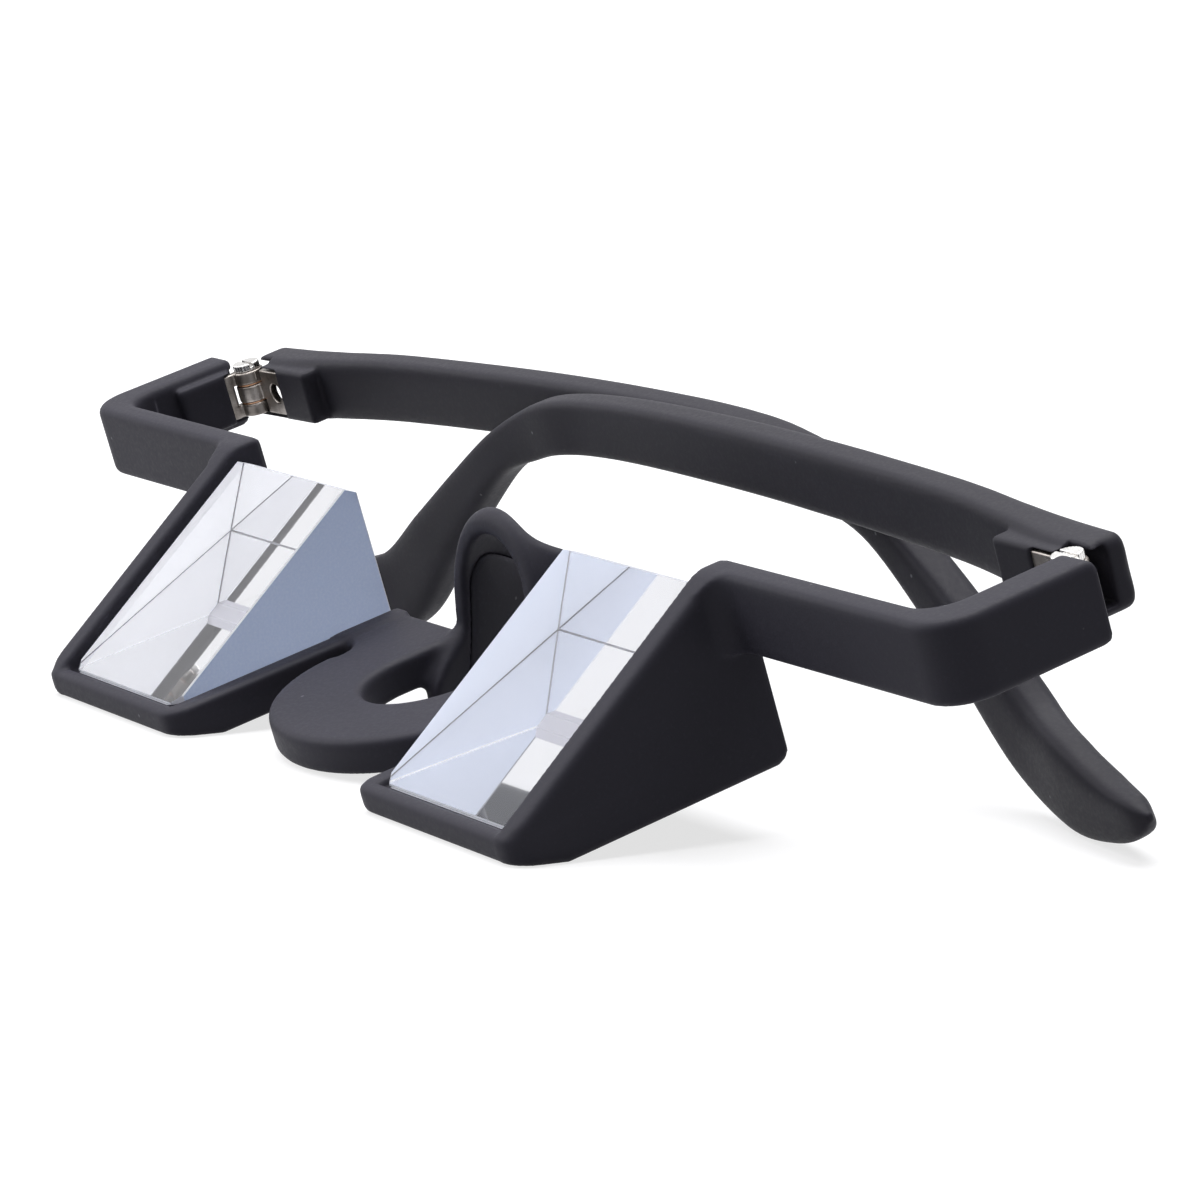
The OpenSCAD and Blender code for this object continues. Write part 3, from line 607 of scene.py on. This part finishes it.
# the section is read at the exact foot of each point, a little before or after its nearest place
local = line[nearest] + (along / step_len[nearest])[..., None] * pace[nearest]
local_u = place_u[nearest]
height, outer, thick = local[..., 2], local[..., 3], local[..., 4]
# the section's outline is |w / half its thickness| ** p + |q / half its height| ** p = 1, where the power p
# is 5, almost square, up to the dip behind the ear, and falls to 3.3, rounder, at the paddle
power = 2 / (0.4 + 0.2 * np.clip((local_u - 8) / 5, 0, 1))[..., None]
THINNEST = 0.4
W = hw[None, None, :]
half_t = np.maximum(thick, THINNEST)[..., None] / 2
half_h = np.maximum(height, THINNEST)[..., None] / 2
dw = W - (outer[..., None] - half_t)
dq = np.broadcast_to(across[..., None], dw.shape)
size = (np.abs(dw / half_t) ** power + np.abs(dq / half_h) ** power) ** (1 / power)
# size is 1 on the outline, and the distance is what lies past it along the point's own ray. CENTRE is the
# size that counts as the middle of the section, and DEEP is a distance well inside.
CENTRE, DEEP = 1e-6, -9.0
bar = np.where(size > CENTRE, np.hypot(dw, dq) * (1 - 1 / np.maximum(size, CENTRE)), -half_t)
past_end = np.where(nearest == len(line) - 1, along, DEEP)[..., None]
bar = np.maximum(bar, past_end)
L, Z = hl[:, None, None], hz[None, :, None]
bar = meet(bar, START - L, r=1.1)
print("bar covers", int((bar < 0).sum()), "grid points")

# %% Block and pocket for the hinge
BLOCK_END, POCKET_END, HEAD_ROOM_END = 10.6, 5.3, 2.2
block = brick(W, L, Z, (-0.1, START, -2.6), (2.6, BLOCK_END, 2.6), r=0.45)
pocket = brick(W, L, Z, (-ROOM_IN, -1.6, -ROOM_HALF), (3.1, POCKET_END, ROOM_HALF), r=0.25)
bar = join(bar, block, r=0.3)
bar = cut(bar, pocket, r=0.2)
bar = cut(bar, np.maximum(np.maximum(W - HEAD_ROOM_R, L - HEAD_ROOM_END), -Z), r=0.25)

# %% Skin of both temples
def hang(points, side, short_of, play):
    """Temple points (outwards, along, up) in the tilted frame: tipped by the play of the hinge, turned in to
    the folded place about the hinge axis, moved to the axis, and mirrored for the wearer's right."""
    w, l, z = points.T
    tip = np.radians(play)
    back, up = l * np.cos(tip) - z * np.sin(tip), l * np.sin(tip) + z * np.cos(tip)
    fold = np.radians(90 - short_of)
    x = AXIS[0] + w * np.cos(fold) - back * np.sin(fold)
    s = AXIS[1] + w * np.sin(fold) + back * np.cos(fold)
    return np.stack([side * x, s, AXIS[2] + up], -1)


# the side, and in degrees how far the folded temple stays short of square and how far it tips
FOLDS = {"left": (1, 0.9, 0.5352), "right": (-1, 4.4, -0.5352)}
points, faces = skin(bar)
points = points * BAR_STEP + [hl[0], hz[0], hw[0]]
points = points[:, [2, 0, 1]]
for word, fold in FOLDS.items():
    turned = faces if fold[0] > 0 else faces[:, ::-1]
    new_piece(f"temple_moulding_{word}", stand(hang(points, *fold)), turned, temple_finish,
              f"temple_{word}_body", replaces=[f"temple_{word}"])

# %% [markdown]
# ## Pairs of small pieces
# The pads and the metal parts of the hinges come in pairs. Each is worked out once, as a field on a fine
# grid of its own, and then put in place on both sides.

# %% Left and right
SIDES = {"left": 1, "right": -1}


def on_front(points, word):
    """Points of the tilted frame, mirrored for the wearer's right."""
    return points * [SIDES[word], 1, 1]


def on_arm(points, word):
    """Points from the hinge axis (outwards, to the rear, up) of a part that stays with the front."""
    return on_front(points + AXIS, word)


def on_temple(points, word):
    """Points from the hinge axis (outwards, along, up) of a part that swings with a temple."""
    return hang(points, *FOLDS[word])


def pair(name, field, corner, step, material, body="front", place=on_front):
    """Skins a left-hand field and stands it and its twin in the scene, each for the CAD node of its name."""
    points, faces = skin(field)
    points = points * step + corner
    for word, side in SIDES.items():
        new_piece(f"{name}_{word}_piece", stand(place(points, word)), faces if side > 0 else faces[:, ::-1],
                  material, body.format(word), replaces=[f"{name}_{word}"])


# %% [markdown]
# ## The nose pads
# On the real glasses these are two pads of soft rubber, pressed into shallow seats on the nose side of the
# saddle. Each follows the saddle's curve, swells a little towards its middle and rolls over softly at its
# rim, so it is a layer of the saddle's own depth field inside the pad's outline.

# %% Pads
# the step of the grid, the pad's thickness at its rim, its swell and how fast that sets in
PAD_STEP, PAD_T, PAD_SWELL, SWELL_IN = 0.2, 0.62, 0.48, 1.3
px = np.arange(2.0, 14.4, PAD_STEP)
ps = np.arange(20.8, 35.4, PAD_STEP)
pt = np.arange(-8.8, 7.6, PAD_STEP)
pad_flat = outline_distance(*np.meshgrid(ps, pt, indexing="ij"), closed_curve(pad_points, 90))[None]
pad_depth = -saddle_outer(px[:, None, None], ps[None, :, None], pt[None, None, :])
swell = PAD_SWELL * (1 - np.exp(-np.maximum(-pad_flat, 0) / SWELL_IN))
pad_face = SADDLE_T - PAD_SUNK + PAD_T + swell
pad = meet(meet(pad_flat, pad_depth - pad_face, r=0.35), SADDLE_T - PAD_SUNK - pad_depth, r=0.05)
# the pads' base colour is paler than the moulding's: painted light that lifts the shade inside the saddle
rubber = soft_black("pad_rubber", (0.042, 0.041, 0.050), rough=0.64, grain=1.6)
pair("nose_pad", pad, [px[0], ps[0], pt[0]], PAD_STEP, rubber)

# %% [markdown]
# ## The prisms
# Each prism is one block of optical glass. The sloping front and the upright rear are polished, the bottom
# carries a mirror coat, and the two sides are ground, so that they look satin blue-grey from outside and
# pale from within. Every edge has a narrow ground bevel, pale along the front and darker elsewhere. Through
# the front these bevels are seen again and again in the mirror, as the thin lines that meet in a star. So
# the block is built as a real one, the space behind a set of planes, with the true bevels, and the lines
# come from the light itself.

# %% A solid from its planes
# what counts as nothing, and how near to a plane, in millimetres, a corner counts as lying on it
HARDLY, NEARLY = 1e-6, 2e-4
# a direction that is square to none of the planes, to count angles from
ANY_WAY = [0.31, 0.83, 0.47]


def behind(planes):
    """Corners and faces of the space behind all planes, given as rows (normal, offset). Every three planes
    meet in a point, and the points that no plane cuts off are the corners. A face is all the corners on one
    plane, in the order of their angle round its normal."""
    normal, offset = planes[:, :3], planes[:, 3]
    trios = np.array(list(itertools.combinations(range(len(planes)), 3)))
    trios = trios[np.abs(np.linalg.det(normal[trios])) > HARDLY]
    corners = np.linalg.solve(normal[trios], offset[trios][..., None])[..., 0]
    corners = corners[(corners @ normal.T <= offset + HARDLY).all(1)]
    corners = np.unique(corners.round(5), axis=0)
    faces = []
    for n, d in zip(normal, offset):
        on = np.flatnonzero(np.abs(corners @ n - d) < NEARLY)
        u = np.cross(n, ANY_WAY)
        u /= np.linalg.norm(u)
        off = corners[on] - corners[on].mean(0)
        faces.append(on[np.argsort(np.arctan2(off @ np.cross(n, u), off @ u))].tolist())
    return corners, faces


def plane(normal, through):
    """A row (normal, offset) of the plane square to a normal through a point."""
    n = np.array(normal, float)
    n /= np.linalg.norm(n)
    return np.append(n, n @ np.array(through, float))


def bevel(first, second, edge, width):
    """The plane that cuts the edge between two planes off to the given width of bevel."""
    n = first[:3] + second[:3]
    n /= np.linalg.norm(n)
    half = np.arccos(np.clip(first[:3] @ second[:3], -1, 1)) / 2
    return np.append(n, n @ np.array(edge, float) - width / 2 / np.tan(np.pi / 2 - half))


# %% Planes of the left prism
P0, P1, BASE = PRISM["x0"], PRISM["x1"], PRISM["base"]
# the height of the glass over its coat, where the sharp front edge is ground off, and the width of a bevel
BED, TOE, WIDTH = 0.01, 0.35, 0.18
top_s = BASE - PRISM["apex"] * np.cos(SLOPE)
face = plane([0, -np.sin(SLOPE), np.cos(SLOPE)], [0, 0, 0])
back = plane([0, 1, 0], [0, BASE, 0])
floor_plane = plane([0, 0, -1], [0, 0, BED])
inner, outer_side = plane([-1, 0, 0], [P0, 0, 0]), plane([1, 0, 0], [P1, 0, 0])
crest = plane([0, 0.5, np.sqrt(0.75)], [0, top_s, top_s * np.tan(SLOPE)])
cut_in = plane([-1, -1, 0], [P0 + PRISM["corner"], 0, 0])
cut_out = plane([1, -1, 0], [P1 - PRISM["corner"], 0, 0])
POLISHED, GROUND, BEVEL, SILVERED, WALLED, PALE = range(6)
planes = [(face, POLISHED), (back, POLISHED), (floor_plane, SILVERED), (inner, GROUND), (outer_side, WALLED),
          (crest, BEVEL), (cut_in, BEVEL), (cut_out, BEVEL)]
for side_plane, x in ((inner, P0), (outer_side, P1)):
    planes += [(bevel(face, side_plane, [x, 0, 0], WIDTH), PALE),
               (bevel(back, side_plane, [x, BASE, 0], WIDTH), BEVEL),
               (bevel(floor_plane, side_plane, [x, 0, BED], WIDTH), BEVEL)]
planes += [(bevel(back, floor_plane, [0, BASE, BED], WIDTH), BEVEL),
           (plane([0, -1, 0], [0, TOE, 0]), BEVEL)]
block_points, block_faces = behind(np.array([row for row, _ in planes]))
print("prism:", len(block_points), "corners,", len(block_faces), "faces")

# %% Glass finishes
def polished_glass():
    """Clear optical glass with a trace of blue, and faint smears that blur it by a hair."""
    material, tree, shader = new_material("polished_glass")
    shader.inputs["Base Color"].default_value = (0.97, 0.975, 1.0, 1)
    shader.inputs["Transmission Weight"].default_value = 1.0
    shader.inputs["IOR"].default_value = 1.52
    gloss = carry(tree, noise(tree, 160.0), (0.45, 0.75), (0.0, 0.035))
    tree.links.new(gloss, shader.inputs["Roughness"])
    return material


def ground_glass(name, outside, inside, passing, rough, share=0.5, glow=0.0):
    """Ground glass: one colour seen from outside and another from within, and a share of the light goes
    through in a third. A side that backs on to the holder lets none through, and is white within. The glow
    stands for the light that a block of glass catches through its polished faces, which the path tracer
    leaves out behind refraction."""
    material, tree, shader = new_material(name)
    drift = noise(tree, 55.0, detail=2.0)
    fine = noise(tree, 4200.0)
    skin_colour = mix(tree, drift, tint(outside, 0.88), tint(outside, 1.12))
    frosted = ramp(tree, fine, [(0.4, grey(0)), (0.75, grey(0.3))])
    skin_colour = mix(tree, frosted, skin_colour, grey(0.6))
    shader.inputs["Roughness"].default_value = rough
    tree.links.new(skin_colour, shader.inputs["Base Color"])
    emboss(tree, shader, fine, strength=0.12, depth=0.00004)
    within = add(tree, "ShaderNodeBsdfDiffuse", Color=(*inside, 1))
    lit = add(tree, "ShaderNodeEmission", Color=(0.95, 0.96, 1.0, 1), Strength=glow)
    within = add(tree, "ShaderNodeAddShader", _0=within.outputs[0], _1=lit.outputs[0])
    facing = add(tree, "ShaderNodeNewGeometry").outputs["Backfacing"]
    both = add(tree, "ShaderNodeMixShader", _0=facing, _1=shader.outputs[0], _2=within.outputs[0])
    through = add(tree, "ShaderNodeBsdfTranslucent", Color=(*passing, 1))
    both = add(tree, "ShaderNodeMixShader", _0=share, _1=both.outputs[0], _2=through.outputs[0])
    tree.links.new(both.outputs[0], tree.nodes["Material Output"].inputs["Surface"])
    return material


def mirror_metal(name, colour, rough):
    """Evaporated metal: a mirror with faint blotches."""
    material, tree, shader = new_material(name)
    shader.inputs["Metallic"].default_value = 1.0
    blotches = noise(tree, 300.0)
    tree.links.new(mix(tree, blotches, tint(colour, 0.96), colour), shader.inputs["Base Color"])
    shader.inputs["Roughness"].default_value = rough
    return material


clear_glass = polished_glass()
side_glass = ground_glass("ground_sides", outside=(0.22, 0.28, 0.46), inside=(0.95, 0.95, 0.98),
                          passing=(0.50, 0.58, 0.76), rough=0.42, glow=0.15)
walled_glass = ground_glass("walled_sides", outside=(0.30, 0.36, 0.54), inside=(0.92, 0.92, 0.94),
                            passing=grey(1.0), rough=0.42, share=0.0, glow=0.28)
bevel_glass = ground_glass("ground_bevels", outside=(0.80, 0.83, 0.90), inside=(0.42, 0.42, 0.46),
                           passing=(0.4, 0.4, 0.44), rough=0.5)
pale_bevel = ground_glass("pale_bevels", outside=(0.84, 0.86, 0.92), inside=(0.97, 0.97, 0.97),
                          passing=grey(0.9), rough=0.5, share=0.0, glow=0.3)
mirror = mirror_metal("mirror_coat", (0.93, 0.93, 0.94), rough=0.02)
adhesive = soft_black("adhesive", (0.020, 0.020, 0.023), rough=0.5)

# %% Prisms, coats and adhesive
finishes = [clear_glass, side_glass, bevel_glass, mirror, walled_glass, pale_bevel]
for side, word in ((1, "left"), (-1, "right")):
    turned = block_faces if side > 0 else [list(reversed(f)) for f in block_faces]
    new_piece(f"prism_block_{word}", stand(block_points * [side, 1, 1]), turned, finishes, "front",
              smooth=False, replaces=[f"prism_{word}"],
              finish_of_face=[kind for _, kind in planes])
    for node, finish in (("mirror_coat", mirror), ("prism_glue", adhesive)):
        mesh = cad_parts[f"{node}_{word}"].data
        mesh.materials.clear()
        mesh.materials.append(finish)

# %% [markdown]
# ## The hinges
# A small eyewear hinge: a leaf in the arm with two outer knuckles, a leaf in the temple with the middle one,
# two thin copper-coloured washers and a screw with a milled, slotted head. The leaves are stamped and then
# tumbled, so their edges are slightly round, and the metal is plated and a little worn. They are made as
# fields on a fine grid, because knuckle, neck and leaf run into each other.

# %% Hinge metal
def plated(name, dark, light, rough):
    """Plated metal: a cloudy, worn tone, and fine scratches that also set the roughness and the relief."""
    material, tree, shader = new_material(name)
    shader.inputs["Metallic"].default_value = 1.0
    place = add(tree, "ShaderNodeTexCoord").outputs["Object"]
    squeezed = add(tree, "ShaderNodeMapping", Vector=place, Scale=(1.0, 1.0, 9.0)).outputs[0]
    scratch = noise(tree, 1500.0, detail=4.0, roughness=0.7, vector=squeezed)
    cloud = noise(tree, 420.0)
    worn = mix(tree, ramp(tree, cloud, [(0.38, grey(0)), (0.66, grey(1))]), dark, light)
    scratched = ramp(tree, scratch, [(0.55, grey(0)), (0.75, grey(0.5))])
    worn = mix(tree, scratched, worn, tint(dark, 0.55))
    tree.links.new(worn, shader.inputs["Base Color"])
    gloss = carry(tree, scratch, (0.3, 0.7), (rough - 0.08, rough + 0.12))
    tree.links.new(gloss, shader.inputs["Roughness"])
    emboss(tree, shader, scratch, strength=0.15, depth=0.00002)
    return material


hinge_metal = plated("hinge_metal", dark=(0.20, 0.18, 0.165), light=(0.40, 0.37, 0.35), rough=0.34)
screw_metal = plated("screw_metal", dark=(0.62, 0.61, 0.60), light=(0.86, 0.85, 0.84), rough=0.24)
copper = plated("copper_washer", dark=(0.60, 0.33, 0.20), light=(0.80, 0.50, 0.34), rough=0.30)

# %% Both halves of a hinge
# the barrel's radius and height, and the heights of the middle and of the outer knuckles
BARREL_R, BARREL_H, MIDDLE_H, SIDE_H = 1.5, 4.4, 1.6, 1.21
# the leaves: both faces, where they start, where they end, and how far the necks reach into them
LEAF_IN, LEAF_OUT, LEAF_START = 0.1, 0.9, 1.85
FRONT_LEAF_END, TEMPLE_LEAF_END, NECK_END = 6.4, 9.4, 2.4
# the bores of both halves, and the see-through hole of the temple leaf
FRONT_BORE_R, TEMPLE_BORE_R, HOLE_AT, HOLE_R = 0.725, 0.75, 4.15, 0.95
FINE = 0.08
hx = np.arange(-1.9, 1.9, FINE)
hy = np.arange(-6.8, 9.8, FINE)
hh = np.arange(-2.6, 2.64, FINE)
U, V, H = hx[:, None, None], hy[None, :, None], hh[None, None, :]
barrel = np.hypot(U, V) - BARREL_R
half = BARREL_H / 2


def knuckle(low, high, leaf_end):
    """A knuckle and the neck that joins it to its leaf."""
    ends = sorted((0.0, leaf_end))
    ring = meet(barrel, slab(H, low, high), r=0.14)
    neck = brick(U, V, H, (LEAF_IN, ends[0], low), (LEAF_OUT, ends[1], high), r=0.1)
    return join(ring, neck, r=0.15)


def leaf(start, end):
    """A leaf of the hinge's full height between two places along it."""
    return brick(U, V, H, (LEAF_IN, start, -half), (LEAF_OUT, end, half), r=0.13)


fixed = np.minimum(knuckle(-half, SIDE_H - half, -NECK_END), knuckle(half - SIDE_H, half, -NECK_END))
fixed = join(fixed, leaf(-FRONT_LEAF_END, -LEAF_START), r=0.06)
fixed = cut(fixed, np.hypot(U, V) - FRONT_BORE_R, r=0.03)
pair("front_hinge", fixed, [hx[0], hy[0], hh[0]], FINE, hinge_metal, place=on_arm)
swung = join(knuckle(-MIDDLE_H / 2, MIDDLE_H / 2, NECK_END), leaf(LEAF_START, TEMPLE_LEAF_END), r=0.06)
swung = cut(swung, np.hypot(U, V) - TEMPLE_BORE_R, r=0.03)
swung = cut(swung, np.hypot(V - HOLE_AT, H) - HOLE_R, r=0.1)
pair("temple_hinge", swung, [hx[0], hy[0], hh[0]], FINE, hinge_metal,
     body="temple_{}_body", place=on_temple)

# %% Screw and washers
# the screw's head and shaft, the washers' thickness, and the play between them and the middle knuckle
HEAD_R, HEAD_H, SHAFT_R, WASHER_T, PLAY = 1.3, 0.75, 0.7, 0.15, 0.04
# the head's ridges and half their depth, half the width of its slot, and the slot's share of its height
RIDGES, RIDGE, SLIT, SLIT_DEEP = 24, 0.035, 0.16, 0.5
FINEST = 0.05
sx = np.arange(-1.5, 1.52, FINEST)
sz = np.arange(-2.4, 3.15, FINEST)
U, V, H = sx[:, None, None], sx[None, :, None], sz[None, None, :]
radius = np.hypot(U, V)
milled = HEAD_R - RIDGE * (1 - np.cos(RIDGES * np.arctan2(V, U)))
head = meet(radius - milled, slab(H, half, half + HEAD_H), r=0.12)
head = cut(head, np.maximum(np.abs(V) - SLIT, half + HEAD_H * SLIT_DEEP - H), r=0.04)
shaft = meet(radius - SHAFT_R, slab(H, -half, half + 0.2), r=0.1)
pair("hinge_screw", join(head, shaft, r=0.05), [sx[0], sx[0], sz[0]], FINEST, screw_metal,
     place=on_arm)
low = MIDDLE_H / 2 + PLAY
rings = meet(radius - (BARREL_R - 0.1), slab(np.abs(H), low, low + WASHER_T), r=0.04)
rings = cut(rings, radius - (SHAFT_R + 0.05), r=0.02)
pair("hinge_washers", rings, [sx[0], sx[0], sz[0]], FINEST, copper, place=on_arm)

# %% [markdown]
# ## Floor, light and camera
# The floor is plain and pale and keeps the soft shadow. The camera stands where the photograph was taken
# from, found from the straight edges of the front.

# %% Camera
def aimed(right, up, back, place):
    """The pose whose axes X, Y and Z point along three directions, with its origin at a place."""
    pose = Matrix(np.stack([right, up, back], 1).tolist()).to_4x4()
    pose.translation = [float(value) for value in place]
    return pose


AZIMUTH, ELEVATION = np.radians(60.375), np.radians(9.206)
level = np.cos(ELEVATION)
forward = np.array([-np.sin(AZIMUTH) * level, np.cos(AZIMUTH) * level, -np.sin(ELEVATION)])
right = np.array([np.cos(AZIMUTH), np.sin(AZIMUTH), 0.0])
up = np.cross(right, forward)
eye = np.array([391.0, -190.2 + STAND_Y, 85.17]) * MM
lens = bpy.data.cameras.new("camera")
lens.sensor_width = 36
lens.lens = 158.4
lens.shift_x, lens.shift_y = -0.0055, -0.0030
lens.clip_start, lens.clip_end = 0.01, 20
camera = bpy.data.objects.new("camera", lens)
bpy.context.scene.collection.objects.link(camera)
camera.matrix_world = aimed(right, up, -forward, eye)
bpy.context.scene.camera = camera
print("camera at", eye.round(4))

# %% World
def seen_directly(tree):
    """1 for rays from the camera, off a glossy surface or through glass, and 0 for rays that carry light."""
    path = add(tree, "ShaderNodeLightPath")
    seen = path.outputs["Is Camera Ray"]
    for kind in ("Is Glossy Ray", "Is Transmission Ray"):
        either = add(tree, "ShaderNodeMath", {"operation": "MAXIMUM"}, _0=seen, _1=path.outputs[kind])
        seen = either.outputs[0]
    return seen


scene = bpy.context.scene
scene.view_settings.view_transform = "Standard"
world = bpy.data.worlds.new("studio")
scene.world = world
world.use_nodes = True
tree = world.node_tree
tree.nodes.clear()
soft = add(tree, "ShaderNodeBackground", Color=(1, 1, 1, 1), Strength=0.07)
white = add(tree, "ShaderNodeBackground", Color=(1, 1, 1, 1), Strength=1.0)
studio = add(tree, "ShaderNodeMixShader", _0=seen_directly(tree), _1=soft.outputs[0], _2=white.outputs[0])
out = add(tree, "ShaderNodeOutputWorld")
tree.links.new(studio.outputs[0], out.inputs["Surface"])
print("world:", world.name)

# %% Floor
# the floor's own colour takes the light and the shadow. Where it is seen directly, a lift makes it white, a
# little less so close round the object, where its own light adds the rest.
FLOOR_HALF, FLOOR_Z = 6, -0.0001
LIFT_NEAR, LIFT_FAR = (0.12, 0.74), (0.45, 1.0)
floor_material, tree, shader = new_material("pale_floor")
shader.inputs["Base Color"].default_value = (0.30, 0.30, 0.31, 1)
shader.inputs["Roughness"].default_value = 0.9
shader.inputs["Specular IOR Level"].default_value = 0.1
place = add(tree, "ShaderNodeTexCoord").outputs["Object"]
far = add(tree, "ShaderNodeVectorMath", {"operation": "LENGTH"}, _0=place).outputs["Value"]
glow = carry(tree, far, (LIFT_NEAR[0], LIFT_FAR[0]), (LIFT_NEAR[1], LIFT_FAR[1]))
lift = add(tree, "ShaderNodeEmission", Color=(1, 1, 1, 1), Strength=glow)
none = add(tree, "ShaderNodeEmission", Color=(0, 0, 0, 1), Strength=0.0)
shown = add(tree, "ShaderNodeMixShader", _0=seen_directly(tree), _1=none.outputs[0], _2=lift.outputs[0])
both = add(tree, "ShaderNodeAddShader", _0=shader.outputs[0], _1=shown.outputs[0])
tree.links.new(both.outputs[0], tree.nodes["Material Output"].inputs["Surface"])
floor_mesh = bpy.data.meshes.new("floor")
square = [(x * FLOOR_HALF, y * FLOOR_HALF, FLOOR_Z) for x, y in ((-1, -1), (1, -1), (1, 1), (-1, 1))]
floor_mesh.from_pydata(square, [], [(0, 1, 2, 3)])
floor_mesh.materials.append(floor_material)
floor = bpy.data.objects.new("floor", floor_mesh)
scene.collection.objects.link(floor)

# %% Lamps
AIM = (0, 0, 0.01)


def softbox(name, place, size, power):
    """A square area lamp that looks at the aim, near the middle of the object."""
    data = bpy.data.lights.new(name, "AREA")
    data.shape = "SQUARE"
    data.size = size
    data.energy = power
    lamp = bpy.data.objects.new(name, data)
    scene.collection.objects.link(lamp)
    towards = np.array(AIM, float) - np.array(place, float)
    towards /= np.linalg.norm(towards)
    sideways = np.cross(towards, [0, 0.01, 1.0])
    sideways /= np.linalg.norm(sideways)
    lamp.matrix_world = aimed(sideways, np.cross(sideways, towards), -towards, place)


softbox("top", (-0.10, 0.02, 0.75), size=0.8, power=11.0)
softbox("front_left", (-0.55, -0.66, 0.45), size=0.6, power=4.8)
